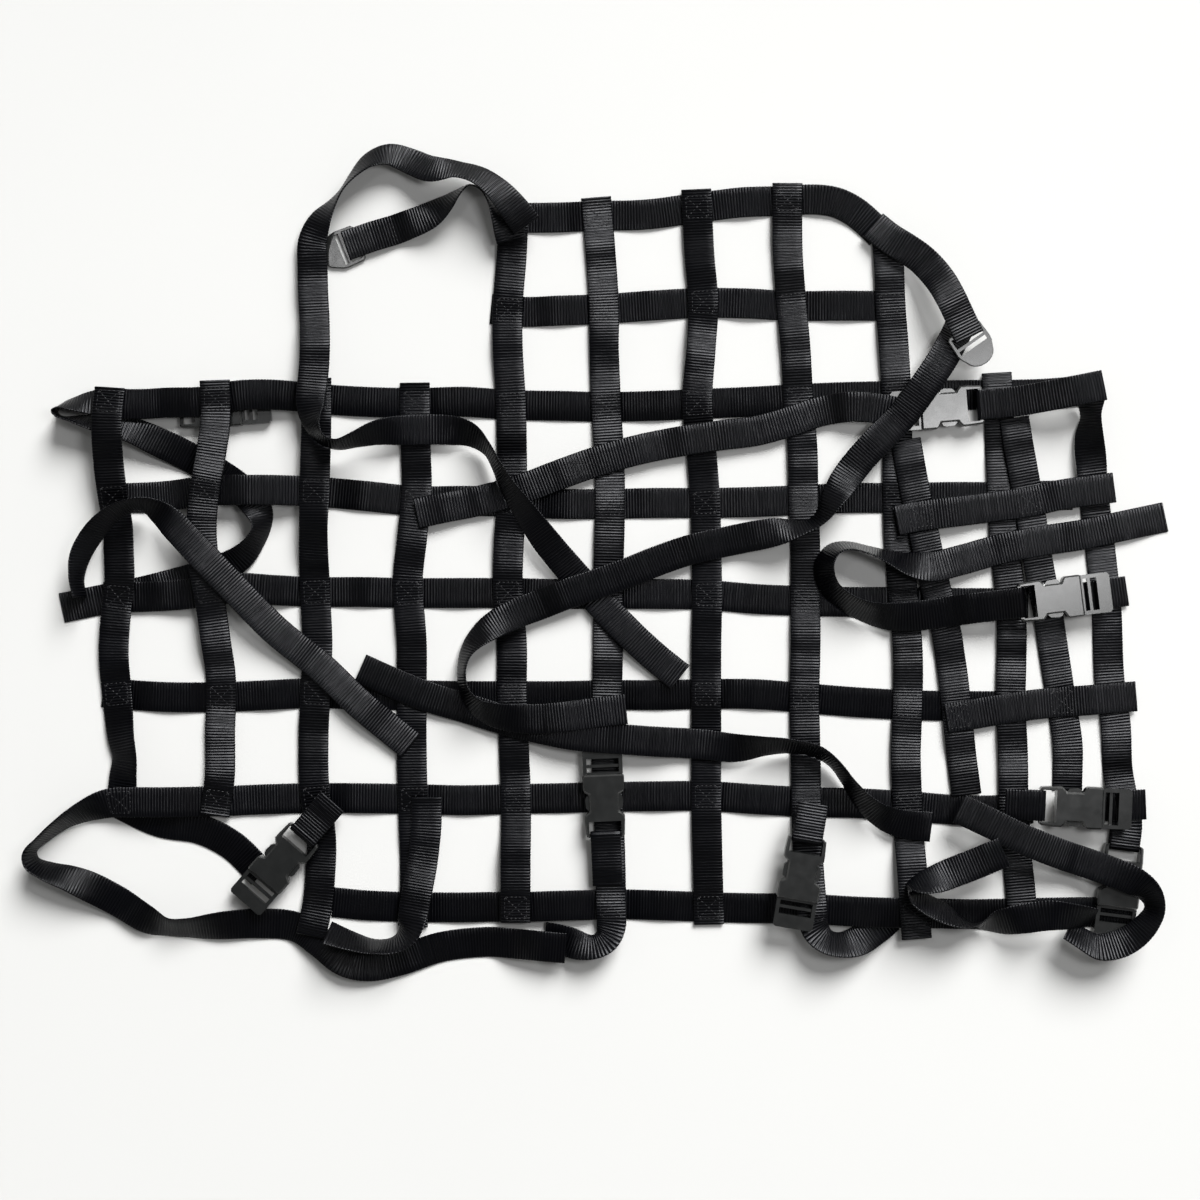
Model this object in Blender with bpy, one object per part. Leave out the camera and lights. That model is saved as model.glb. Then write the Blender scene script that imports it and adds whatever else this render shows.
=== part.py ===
"""Cargo net of 25 mm webbing with side-release buckles, laid out loosely on a flat surface.

Every strap is one solid: a flat band that follows a short table of stations.  The straps are
laid one after another, from the lowest to the highest, and each rests on what already lies
there, as real webbing does.
"""
import math

import bpy
import numpy as np

# ---- driving sizes, metres
WEBBING_WIDTH = 0.025
WEBBING_THICKNESS = 0.0014
LAYER_GAP = 0.0004          # kept between webbing that lies on webbing
REST_LIFT = 0.0012          # lifts below this only mean that the webbing rests
BUCKLE_GAP = 0.0004         # kept under a buckle
BEND_RADIUS = 0.105         # how tightly resting webbing curves over an edge
FLAT_REACH = 0.007          # webbing stays flat this far past an edge below it
SOFTENING = 0.0045          # rounding of the resting curve
TUCK_MARGIN = 0.006         # length before a tucked end that also keeps to the ground
TUCKED_STATIONS = {"column_6": 6, "column_8": 6}

# ---- plan grid: X to the right, Y down the sheet, 30 units to one webbing width
PLAN_UNIT = WEBBING_WIDTH / 30
PLAN_CENTRE = (598.9, 562.2)

# ---- sampling
STEP = 0.003                # spacing of the worked-out points along a strap
CELL = 0.002                # height grid
FIELD_HALF = (0.52, 0.40)   # half size of the height grid
PLAN_ROUNDING = 0.0022      # evening out of the course in plan
ROLL_ROUNDING = 0.0045      # evening out of the roll
LIFT_ROUNDING = 0.0060      # evening out of the lift
PLAN_TOLERANCE = 0.00050    # how far a dropped section may lie from the kept ones
HEIGHT_WEIGHT = 3.0         # heights are held this much closer than the plan

# ---- side-release buckle for 25 mm webbing, metres, X from its bar to its ladder
BAR_X = -0.0315
BAR_HALF = 0.00145
BODY_HALF_LENGTH = 0.0190
BODY_HALF_HEIGHT = 0.0047
BODY_HALF_WIDTH = 0.0172
LADDER_END = 0.0430
LADDER_HALF_WIDTH = 0.0165
LADDER_HALF_HEIGHT = 0.0024
SOCKET_SOFT_EDGE = 0.0013
CUT_HALF_WIDTH = 0.0134     # every slot for webbing
HOLLOW_START = -0.0150
HOLLOW_HALF_WIDTH = 0.0130
HOLLOW_HALF_HEIGHT = 0.0029
LADDER_SLOTS = ((0.0208, 0.0248), (0.0272, 0.0322))
LADDER_BAR = (0.0240, 0.0280)
LADDER_BAR_TOP = 0.0008     # the middle bar of the ladder lies lower than its frame
WRAP_RADIUS = 0.0031        # bar centre to the middle of the webbing round it
WRAP_RETURN = 0.014         # doubled length beyond the bar

# ---- ladder lock with a thumb tab, metres
LOCK_HALF_WIDTH = 0.0160
LOCK_BACK = -0.0205
LOCK_FRONT = 0.0030
LOCK_TAB_RADIUS = 0.0130
LOCK_HALF_HEIGHT = 0.0016
LOCK_TAB_SHARE = 0.8        # length of the tab as a share of its radius
LOCK_SOFT_EDGE = 0.0006
LOCK_CUT_HALF_WIDTH = 0.0132
LOCK_SLOTS = ((-0.0180, -0.0090), (-0.0065, -0.0030))

# ---- straps: stations of x, y (plan grid), roll (degrees), lift (millimetres above rest)
# A roll of 90 stands the webbing on its edge; a positive roll raises the edge on the left
# of the direction in which the table runs.
ROW_1 = [
    (62, 608, 0, 0), (100, 600, 0, 1), (140, 592, 0, 1), (180, 582, 0, 1), (215, 572, 12, 2),
    (240, 560, 34, 1), (256, 544, 60, 0), (264, 527, 66, 0), (260, 509, 24, 0),
    (244, 491, 2, 0), (220, 474, 0, 0), (195, 460, 0, 1), (163, 444, 10, 1), (134, 431, 32, 0),
    (113, 426, 42, 0), (95, 423, 56, 0), (78, 420, 74, 0), (64, 418, 86, 0), (58, 413, 92, 0),
    (64, 407, 104, 0), (78, 405, 122, 0), (97, 404, 152, 0), (116, 404, 172, 0),
    (135, 405, 180, 1), (168, 404, 180, 3), (205, 403, 180, 1), (240, 397, 180, 3),
    (275, 396, 180, 3), (318, 399, 180, 1), (365, 402, 180, 3), (415, 403, 180, 0),
    (465, 402, 180, 3), (511, 405, 180, 0), (560, 406, 180, 2), (605, 407, 180, 0),
    (655, 406, 180, 3), (698, 404, 180, 0), (750, 402, 180, 3), (798, 399, 180, 0),
    (850, 397, 180, 2), (896, 396, 180, 0), (975, 395, 180, 1), (1040, 394, 180, 1),
    (1090, 390, 180, 0)]
ROW_2 = [
    (104, 498, 0, 0), (131, 498, 0, 0), (170, 496, 0, 3), (209, 492, 0, 1), (250, 491, 0, 3),
    (317, 492, 0, 1), (365, 496, 0, 3), (416, 501, 0, 0), (465, 501, 0, 3), (512, 502, 0, 0),
    (560, 504, 0, 3), (609, 504, 0, 0), (655, 503, 0, 2), (704, 503, 0, 0), (755, 502, 0, 3),
    (803, 500, 0, 0), (850, 498, 0, 2), (896, 498, 0, 0), (950, 497, 0, 0),
    (1001, 497, 0, 0), (1072, 495, 0, 0)]
ROW_3 = [
    (104, 597, 0, 0), (140, 597, 0, 2), (180, 595, 0, 1), (215, 591, 0, 1), (240, 588, 0, 1),
    (275, 590, 0, 1), (316, 592, 0, 0), (363, 592, 0, 3), (408, 593, 0, 0),
    (458, 593, 0, 3), (508, 593, 0, 0), (560, 594, 0, 1), (608, 594, 0, 0), (658, 594, 0, 3),
    (707, 595, 0, 0), (756, 599, 0, 2), (805, 601, 0, 0), (852, 602, 0, 1), (903, 602, 0, 0),
    (960, 603, 0, 0), (1028, 603, 0, 0)]
ROW_4 = [
    (103, 692, 0, 0), (120, 694, 0, 0), (170, 697, 0, 3), (222, 697, 0, 0), (268, 695, 0, 3),
    (316, 693, 0, 0), (365, 695, 0, 2), (412, 695, 0, 0), (462, 696, 0, 0), (512, 696, 0, 0),
    (560, 696, 0, 0), (607, 695, 0, 0), (657, 695, 0, 2), (706, 694, 0, 0), (755, 694, 0, 3),
    (804, 698, 0, 0), (855, 702, 0, 2), (907, 705, 0, 0), (960, 706, 0, 0), (1028, 706, 0, 0)]
ROW_5 = [
    (566, 945, 0, 1), (520, 942, 0, 1), (480, 942, 0, 0), (440, 947, 0, 0), (400, 960, 4, 0),
    (370, 965, 12, 0), (345, 960, 26, 0), (323, 943, 14, 0), (298, 927, 0, 0),
    (260, 923, 0, 0), (225, 924, -14, 0), (193, 926, -42, 0), (170, 925, -48, 0),
    (150, 918, -12, 1), (127, 905, 0, 2), (100, 889, 12, 2), (75, 877, 42, 2),
    (51, 869, 62, 1), (36, 861, 74, 0),
    (34, 850, 80, 0), (46, 838, 76, 0), (66, 822, 66, 0), (88, 810, 44, 1), (112, 802, 8, 0),
    (137, 801, 0, 1), (170, 801, 0, 3), (218, 801, 0, 1), (266, 799, 0, 3), (314, 798, 0, 0),
    (363, 798, 0, 3), (413, 799, 0, 0), (465, 800, 0, 3), (515, 799, 0, 0), (560, 798, 0, 2),
    (608, 797, 0, 0), (656, 796, 0, 3), (706, 796, 0, 0), (756, 799, 0, 3), (806, 802, 0, 0),
    (855, 803, 0, 2), (907, 806, 0, 0), (960, 810, 0, 0), (1000, 810, 0, 0), (1032, 808, 0, 0)]
ROW_6 = [
    (333, 902, 0, 1), (365, 905, 0, 2), (414, 907, 0, 0), (466, 907, 0, 3), (516, 906, 0, 0),
    (564, 904, 0, 2), (611, 904, 0, 0), (660, 905, 0, 3), (708, 907, 0, 0), (760, 908, 0, 2),
    (810, 908, 0, 0), (860, 910, 0, 2), (913, 912, 0, 0), (965, 914, 0, 0), (1021, 913, 0, 0),
    (1080, 912, 0, 0), (1134, 912, 0, 0)]
ROW_0 = [
    (515, 218, 0, 1), (555, 218, 0, 3), (598, 216, 0, 0), (646, 215, 0, 3), (697, 208, 0, 0),
    (742, 203, 0, 4), (787, 201, 0, 0), (812, 200, 0, 3), (835, 203, 4, 3), (854, 212, 4, 2),
    (869, 224, 0, 0), (880, 235, 0, 0)]
ROW_0B = [
    (491, 309, 0, 0), (524, 312, 0, 1), (558, 311, 0, 3), (604, 309, 0, 0), (650, 306, 0, 3),
    (702, 303, 0, 0), (748, 304, 0, 4), (791, 306, 0, 0), (840, 306, 0, 3), (904, 306, 0, 0)]
COLUMNS = {
    1: [(116, 390, 0, 0), (114, 425, 0, 3), (115, 460, 0, 2), (117, 500, 0, 0),
        (120, 545, 0, 4), (121, 580, 0, 1), (117, 620, 0, 2), (115, 655, 0, 4),
        (118, 695, 0, 0), (123, 735, 16, 4), (127, 757, 28, 4), (125, 776, 14, 2),
        (122, 806, 0, 0)],
    2: [(218, 382, 0, 0), (219, 420, 0, 2), (215, 455, 0, 2), (209, 490, 0, 0),
        (206, 525, 0, 4), (208, 560, 0, 2), (213, 600, 0, 1), (219, 645, 0, 4),
        (222, 690, 0, 0), (221, 735, 0, 4), (221, 775, 0, 1), (216, 815, 0, 0)],
    3: [(318, 379, 0, 0), (318, 430, 0, 3), (317, 480, 0, 0), (316, 530, 14, 4),
        (315, 575, 0, 1), (318, 640, 0, 4), (316, 690, 0, 0), (314, 745, 0, 4),
        (315, 790, 0, 0), (322, 835, 8, 3), (321, 870, 0, 2), (318, 905, 0, 0),
        (312, 935, 0, 1)],
    4: [(415, 383, 0, 0), (416, 446, 0, 4), (417, 490, 0, 0), (413, 535, 0, 5),
        (408, 582, 0, 0), (412, 640, 0, 4), (412, 695, 0, 0), (412, 745, 0, 4),
        (413, 797, 0, 0), (415, 850, 0, 3), (415, 895, 0, 0), (413, 926, 0, 0)],
    5: [(514, 206, 0, 0), (512, 255, 0, 4), (508, 305, 0, 0), (508, 350, 0, 5),
        (511, 402, 0, 0), (512, 450, 0, 3), (512, 500, 0, 0), (509, 545, 0, 5),
        (508, 592, 0, 0), (512, 645, 0, 3), (512, 695, 0, 0), (514, 745, 0, 3),
        (516, 800, 0, 0), (516, 855, 0, 4), (516, 921, 0, 0)],
    6: [(596, 198, 0, 0), (601, 260, 0, 3), (604, 308, 0, 0), (604, 347, 14, 4),
        (606, 405, 0, 0), (609, 455, 0, 4), (610, 503, 0, 0), (609, 550, 0, 4),
        (608, 595, 0, 0), (608, 645, 0, 4), (607, 695, 0, 0), (606, 740, 0, 0),
        (608, 797, 0, 0), (610, 850, 0, 0), (611, 903, 0, 0), (611, 924, 12, 0),
        (606, 938, 40, 0), (594, 945, 52, 0), (581, 944, 34, 0), (568, 940, 6, 0),
        (555, 937, 0, 0), (545, 936, 0, 0)],
    7: [(696, 190, 0, 0), (699, 255, 0, 4), (703, 303, 0, 0), (701, 346, -14, 4),
        (697, 402, 0, 0), (701, 450, 0, 4), (705, 503, 0, 0), (706, 550, 0, 4),
        (707, 596, 0, 0), (706, 645, 0, 4), (706, 695, 0, 0), (706, 745, 0, 4),
        (706, 797, 0, 0), (707, 850, 0, 4), (709, 924, 0, 0)],
    8: [(787, 184, 0, 0), (787, 250, 0, 4), (791, 304, 0, 0), (795, 350, 0, 4),
        (798, 400, 0, 0), (802, 450, 0, 4), (803, 501, 0, 0), (805, 550, 0, 2),
        (805, 601, 0, 0), (805, 645, 0, 4), (804, 698, 0, 0), (805, 750, 0, 3),
        (806, 803, 0, 0), (807, 850, 0, 1), (810, 900, 0, 0), (813, 925, -14, 0),
        (824, 938, -44, 0), (840, 942, -48, 0), (856, 939, -24, 0), (869, 932, -4, 0),
        (881, 924, 0, 0), (890, 917, 0, 0)],
    9: [(885, 230, 0, 0), (888, 262, 0, 3), (890, 306, 0, 0), (893, 350, 0, 4),
        (896, 396, 0, 0), (897, 445, 0, 2), (897, 498, 0, 0), (899, 550, 0, 3),
        (903, 602, 0, 0), (907, 652, 0, 4), (907, 705, 0, 0), (905, 755, 0, 4),
        (907, 805, 0, 0), (910, 865, 0, 2), (913, 912, 0, 0), (915, 937, 0, 0)],
    10: [(996, 373, 0, 0), (998, 410, 0, 1), (1001, 480, 0, 0), (1004, 545, 0, 2),
         (1010, 600, 0, 0), (1011, 648, 0, 3), (1010, 703, 0, 0), (1012, 755, 0, 4),
         (1013, 803, 0, 0), (1017, 860, 0, 2), (1021, 905, 0, 0), (1022, 928, 0, 0)],
    11: [(1087, 396, 26, 0), (1087, 416, 70, 0), (1086, 440, 32, 1), (1090, 470, 0, 1),
         (1095, 510, 0, 2), (1101, 560, 0, 2), (1106, 605, 0, 1), (1109, 680, 0, 2),
         (1115, 725, 0, 3), (1117, 765, 0, 1), (1120, 795, 0, 0), (1124, 822, 0, 0)]}
FLAP_COLUMNS = {
    1: [(905, 440, 0, 0), (912, 480, 0, 1), (922, 530, 0, 3), (933, 580, 0, 1),
        (946, 635, 0, 3), (954, 690, 0, 1), (959, 740, 0, 3), (966, 795, 0, 0)],
    2: [(1013, 418, 0, 0), (1018, 450, 0, 2), (1028, 505, 0, 1), (1038, 570, 0, 2),
        (1048, 620, 0, 2), (1056, 670, 0, 2), (1062, 708, 0, 1), (1067, 745, 0, 3),
        (1067, 790, 0, 0)]}
FLAP_ROWS = {
    2: [(895, 521, 0, 0), (915, 517, 0, 0), (945, 513, 0, 2), (985, 508, 0, 1),
        (1028, 502, 0, 0), (1060, 495, 0, 2), (1112, 488, 0, 0)],
    3: [(1046, 601, 0, 0), (1085, 597, 0, 0), (1126, 591, 0, 0)],
    4: [(945, 718, 0, 0), (970, 714, 0, 1), (1000, 709, 0, 0), (1035, 704, 0, 2),
        (1060, 702, 0, 0), (1085, 700, 0, 2), (1135, 696, 0, 0)],
    5: [(1056, 806, 0, 0), (1095, 805, 0, 0), (1142, 803, 0, 0)]}
UNDER_ROW_5 = [(108, 798, 0, 0), (160, 822, 0, 0), (200, 829, 0, 1), (232, 845, 0, 1),
               (262, 874, 0, 0)]
BAND_1 = [(1097, 388, 0, 0), (1062, 395, 0, 4), (1026, 401, 0, 2), (1002, 404, 0, 1)]
STRAP_3 = [(1000, 801.8, 0, 0), (1019, 802.6, 0, 1)]
STRAP_4 = [(334.7, 800.3, 0, 0), (318.9, 818.4, 0, 1)]
STRAP_5 = [(607.8, 883.7, 0, 0), (606.7, 858.7, 0, 1)]
STRAP_6 = [(810.2, 800.2, 0, 0), (807.2, 818.0, 0, 1)]
LONG_MIDDLE = [
    (361, 668, 0, 0), (395, 683, 0, 1), (430, 697, 0, 1), (470, 709, 0, 0), (510, 721, 0, 1),
    (545, 729, 0, 0), (580, 735, 0, 1), (620, 738, 0, 0), (660, 741, 0, 2), (705, 744, 0, 1),
    (732, 747, 12, 3), (760, 745, 46, 3), (790, 745, 60, 1), (815, 750, 64, 1),
    (833, 763, 72, 1), (846, 780, 70, 1), (860, 798, 56, 0), (876, 812, 40, 1),
    (895, 821, 16, 1), (930, 826, 0, 0)]
TAIL_1 = [
    (908, 417, 0, 0), (882, 411, 0, 1), (850, 408, 0, 3), (820, 412, 0, 1), (790, 422, 0, 1),
    (758, 431, 0, 3), (720, 436, 0, 2), (680, 442, 0, 2), (640, 450, 0, 3), (600, 461, 0, 1),
    (560, 475, 0, 3), (520, 490, 0, 1), (480, 501, 0, 2), (445, 508, 0, 1), (417, 514, 0, 0)]
LONG_TOP_LEFT = [
    (528, 230, 0, 0), (514, 212, 12, 1), (498, 194, 32, 1), (480, 181, 44, 1), (459, 175, 50, 1),
    (432, 173, 18, 2), (410, 163, 22, 2), (390, 157, 34, 1), (371, 163, 48, 1),
    (355, 178, 66, 1), (344, 192, 76, 0), (334, 206, 64, 1), (322, 223, 32, 2),
    (314, 245, 6, 3), (314, 270, 0, 5), (315, 305, 0, 6), (317, 345, 0, 4),
    (316, 380, 0, 1), (314, 405, 12, 1), (316, 425, 50, 1), (325, 441, 72, 0),
    (341, 447, 76, 0), (358, 442, 66, 1), (382, 434, 40, 2), (415, 431, 8, 1),
    (448, 431, 10, 3), (472, 436, 44, 2), (488, 450, 72, 1), (498, 468, 70, 0),
    (510, 490, 56, 0), (526, 513, 40, 1), (546, 541, 20, 3), (572, 572, 10, 2),
    (600, 603, 0, 1), (630, 634, 0, 3), (655, 657, 0, 2), (680, 677, 0, 0)]
SHORT_TOP_LEFT = [
    (512, 243, 0, 0), (506, 223, 26, 0), (496, 205, 62, 0), (484, 192, 76, 0),
    (470, 188, 80, 0), (458, 196, 68, 0), (446, 207, 44, 0), (430, 218, 16, 1),
    (400, 229, 0, 2), (372, 238, 0, 2), (346, 247, 0, 0)]
SHORT_TOP_RIGHT = [
    (872, 226, 0, 0), (889, 241, 6, 2), (905, 252, 18, 5), (921, 264, 18, 5),
    (935, 282, 10, 4), (947, 304, 0, 3), (957, 325, 0, 1), (965, 341, 0, 0)]
LONG_TOP_RIGHT = [
    (957, 330, 0, 1), (940, 360, 0, 5), (920, 390, 0, 1), (899, 418, 0, 1), (877, 440, 0, 3),
    (857, 462, 0, 4), (842, 482, 12, 3), (830, 501, 48, 2), (821, 516, 66, 1),
    (810, 525, 70, 0), (797, 529, 60, 1), (778, 532, 24, 2), (755, 536, 0, 2),
    (720, 543, 0, 1), (690, 550, 0, 3), (660, 560, 0, 3), (630, 572, 0, 1), (600, 583, 0, 1),
    (570, 593, 0, 2), (542, 604, 0, 3), (518, 613, 6, 2), (496, 624, 22, 3), (479, 637, 46, 3),
    (467, 653, 66, 2), (463, 671, 72, 1), (466, 690, 68, 1), (478, 706, 52, 1),
    (500, 715, 28, 1), (535, 718, 4, 1), (570, 715, 0, 1), (600, 711, 0, 0), (626, 708, 0, 0)]
LONG_LEFT = [
    (84, 597, 80, 0), (81, 577, 76, 0), (86, 555, 60, 0), (98, 535, 56, 0), (116, 517, 62, 0),
    (134, 507, 72, 0), (150, 506, 64, 0), (164, 513, 34, 1), (180, 527, 8, 2),
    (205, 553, 0, 3), (240, 590, 0, 2), (280, 632, 0, 5), (320, 665, 0, 2), (362, 704, 0, 4),
    (411, 745, 0, 1)]
DOWN_COLUMN_4 = [
    (427, 797, 0, 0), (427, 825, 0, 2), (424, 855, 0, 2), (419, 885, 0, 0), (414, 913, 8, 0),
    (410, 930, 44, 0), (398, 941, 66, 0), (377, 944, 74, 0), (352, 937, 62, 0),
    (330, 929, 50, 0)]
RIGHT_LOOP = [
    (1165, 517, 0, 1), (1122, 526, 0, 2), (1080, 535, 0, 2), (1040, 541, 0, 0),
    (1000, 549, 0, 2), (960, 560, 0, 1), (928, 567, 8, 1), (905, 564, 40, 0),
    (885, 557, 64, 0), (865, 550, 74, 0), (845, 546, 74, 0), (831, 550, 66, 0),
    (822, 566, 54, 1), (827, 587, 54, 1), (844, 602, 56, 1), (869, 613, 44, 1),
    (897, 617, 12, 1), (930, 614, 0, 1), (965, 609, 0, 1), (996, 605, 0, 1)]
BOTTOM_LOOP = [
    (955, 806, 0, 0), (985, 820, 0, 0), (1020, 837, 0, 0), (1060, 853, 0, 2),
    (1098, 866, 0, 1), (1126, 877, 12, 0), (1142, 889, 46, 0), (1147, 904, 70, 0),
    (1140, 918, 58, 0), (1126, 932, 44, 0), (1110, 941, 38, 0), (1093, 943, 38, 0),
    (1077, 935, 50, 0), (1063, 925, 44, 0)]
BOTTOM_CROSS = [
    (998, 848, 0, 0), (965, 862, 8, 1), (938, 873, 24, 1), (916, 880, 56, 0),
    (903, 884, 90, 0), (907, 891, 114, 0), (922, 900, 128, 0), (942, 910, 126, 0),
    (960, 918, 104, 0), (977, 921, 70, 0), (996, 919, 26, 0), (1018, 914, 0, 1),
    (1042, 910, 0, 1), (1064, 911, 24, 0), (1086, 912, 48, 0)]

# ---- buckles: number, plan x, plan y of the middle of the body, heading of the ladder (degrees)
BUCKLES = {
    1: (941, 409, 184.5),
    2: (1055, 598, 7.0),
    3: (1074, 805, -2.5),
    4: (281, 862, 229.0),
    5: (604, 796, 92.5),
    6: (798, 873, 260.5),
    7: (1117, 883, 263.0),
    8: (220, 407, 4.0)}
# ---- ladder locks: number, plan x, plan y, heading of the thumb tab (degrees)
LADDER_LOCKS = {1: (337, 252, 202.5), 2: (972, 353, -55.0)}


def remove_everything():
    for thing in list(bpy.data.objects):
        bpy.data.objects.remove(thing)


def material(name, colour, roughness):
    made = bpy.data.materials.new(name)
    made.use_nodes = True
    shader = made.node_tree.nodes["Principled BSDF"]
    shader.inputs["Base Color"].default_value = (*colour, 1.0)
    shader.inputs["Roughness"].default_value = roughness
    shader.inputs["Metallic"].default_value = 0.0
    return made


def plan_point(x, y):
    """Metres from the net's centre for a point of the plan grid."""
    return (x - PLAN_CENTRE[0]) * PLAN_UNIT, (PLAN_CENTRE[1] - y) * PLAN_UNIT


def plan_station(x, y):
    """Plan grid point for a place in metres: the inverse of plan_point."""
    return x / PLAN_UNIT + PLAN_CENTRE[0], PLAN_CENTRE[1] - y / PLAN_UNIT


# ---- curves

def blur(values, sigma):
    """Smooth a row of values with a bell curve and keep its two ends where they are."""
    reach = min(int(math.ceil(3 * sigma)), len(values) - 1)
    offsets = np.arange(-reach, reach + 1)
    weights = np.exp(-0.5 * (offsets / sigma) ** 2)
    padded = np.pad(values, reach, mode="reflect", reflect_type="odd")
    return np.convolve(padded, weights / weights.sum(), mode="valid")


def curve_through(points, per_span=24):
    """A centripetal curve through plan points, and the distance along it of each point."""
    knots = np.concatenate([[0.0], np.cumsum(np.linalg.norm(np.diff(points, axis=0), axis=1) ** 0.5)])
    slopes = np.empty_like(points)
    chords = np.diff(points, axis=0) / np.diff(knots)[:, None]
    slopes[0] = chords[0]
    slopes[-1] = chords[-1]
    for i in range(1, len(points) - 1):
        wide = (points[i + 1] - points[i - 1]) / (knots[i + 1] - knots[i - 1])
        slopes[i] = chords[i - 1] - wide + chords[i]
    dense = [points[0]]
    for i in range(len(points) - 1):
        span = knots[i + 1] - knots[i]
        for t in np.linspace(0, 1, per_span + 1)[1:]:
            dense.append((2 * t**3 - 3 * t**2 + 1) * points[i]
                         + (t**3 - 2 * t**2 + t) * span * slopes[i]
                         + (3 * t**2 - 2 * t**3) * points[i + 1]
                         + (t**3 - t**2) * span * slopes[i + 1])
    dense = np.array(dense)
    along = np.concatenate([[0.0], np.cumsum(np.linalg.norm(np.diff(dense, axis=0), axis=1))])
    return dense, along, along[::per_span]


class Path:
    """A strap's course in plan: evenly spaced points with their roll and lift."""

    def __init__(self, stations, step=STEP):
        places = np.array([plan_point(x, y) for x, y, roll, lift in stations])
        dense, along, at_station = curve_through(places)
        count = max(3, int(round(along[-1] / step)) + 1)
        self.step = along[-1] / (count - 1)
        self.along = np.linspace(0, along[-1], count)
        self.x = blur(np.interp(self.along, along, dense[:, 0]), PLAN_ROUNDING / self.step)
        self.y = blur(np.interp(self.along, along, dense[:, 1]), PLAN_ROUNDING / self.step)
        rolls = [math.radians(roll) for x, y, roll, lift in stations]
        lifts = [lift / 1000 for x, y, roll, lift in stations]
        self.roll = blur(np.interp(self.along, at_station, rolls), ROLL_ROUNDING / self.step)
        lift = np.maximum(np.interp(self.along, at_station, lifts) - REST_LIFT, 0)
        self.lift = blur(lift, LIFT_ROUNDING / self.step)
        east = np.gradient(self.x)
        north = np.gradient(self.y)
        length = np.hypot(east, north)
        self.east = east / length
        self.north = north / length


class HeightField:
    """The highest point laid so far, over a square grid."""

    def __init__(self):
        shape = [int(2 * half / CELL) for half in FIELD_HALF]
        self.tops = np.full(shape, -LAYER_GAP)
        self.around = self.tops.copy()

    def copy(self):
        """The field as it is now."""
        made = HeightField()
        made.tops = self.tops.copy()
        made.around = self.around.copy()
        return made

    def cells(self, x, y):
        column = np.clip(((x + FIELD_HALF[0]) / CELL).astype(int), 1, self.tops.shape[0] - 2)
        row = np.clip(((y + FIELD_HALF[1]) / CELL).astype(int), 1, self.tops.shape[1] - 2)
        return column, row

    def top(self, x, y):
        """The highest thing within a cell or so of each point."""
        return self.around[self.cells(x, y)]

    def highest(self, x, y):
        """The highest thing right under a set of points."""
        return self.tops[self.cells(x, y)].max()

    def lay(self, x, y, z):
        np.maximum.at(self.tops, self.cells(x.ravel(), y.ravel()), z.ravel())
        self.around = self.tops.copy()
        for axis in (0, 1):
            spread = self.around.copy()
            for shift in (-1, 1):
                spread = np.maximum(spread, np.roll(self.around, shift, axis))
            self.around = spread


def rest_on(field, path, half_width=WEBBING_WIDTH / 2):
    """Lowest height of the strap's middle at each point that clears what lies below."""
    need = np.full(len(path.x), -1.0)
    for share in np.linspace(-1, 1, 9):
        out = share * half_width * np.cos(path.roll)
        rise = share * half_width * np.sin(path.roll)
        below = field.top(path.x - path.north * out, path.y + path.east * out)
        need = np.maximum(need, below + LAYER_GAP - rise)
    return need + WEBBING_THICKNESS / 2 * np.abs(np.cos(path.roll))


def drape(need, path):
    """A smooth strap that rests on the needed heights and bends no tighter than webbing does."""
    reach = int(round(FLAT_REACH / path.step))
    wide = need.copy()
    for shift in range(1, reach + 1):
        wide[shift:] = np.maximum(wide[shift:], need[:-shift])
        wide[:-shift] = np.maximum(wide[:-shift], need[shift:])
    distance = path.along[:, None] - path.along[None, :]
    sagging = wide[None, :] - distance**2 / (2 * BEND_RADIUS)
    return blur(np.maximum(need, sagging.max(axis=1)), SOFTENING / path.step)


class Strap:
    """The frames of one strap: middle, direction across it, and direction out of its face."""

    def __init__(self, path, height, bar=None):
        middle = np.column_stack([path.x, path.y, height])
        forward = np.gradient(middle, axis=0)
        forward /= np.linalg.norm(forward, axis=1)[:, None]
        left = np.column_stack([-path.north, path.east, np.zeros(len(path.x))])
        up = np.zeros_like(left)
        up[:, 2] = 1.0
        across = left * np.cos(path.roll)[:, None] + up * np.sin(path.roll)[:, None]
        across -= forward * np.sum(across * forward, axis=1)[:, None]
        across /= np.linalg.norm(across, axis=1)[:, None]
        self.middle = middle
        self.across = across
        self.face = np.cross(forward, across)
        if bar is not None:
            self.wrap(bar, path)

    def wrap(self, bar, path):
        """Go on round a buckle's bar and a little way back under the strap."""
        heading = np.array([path.east[-1], path.north[-1], 0.0])
        across = self.across[-1]
        up = np.array([0.0, 0.0, 1.0])
        centre = np.array(bar)
        middles, faces = [], []
        for angle in np.radians(np.arange(22.5, 181, 22.5)):
            out = heading * math.sin(angle) + up * math.cos(angle)
            middles.append(centre + out * WRAP_RADIUS)
            faces.append(out)
        for back in (WRAP_RETURN / 2, WRAP_RETURN):
            middles.append(centre - up * WRAP_RADIUS - heading * back)
            faces.append(-up)
        self.middle = np.vstack([self.middle, middles])
        self.across = np.vstack([self.across, [across] * len(middles)])
        self.face = np.vstack([self.face, faces])


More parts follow.
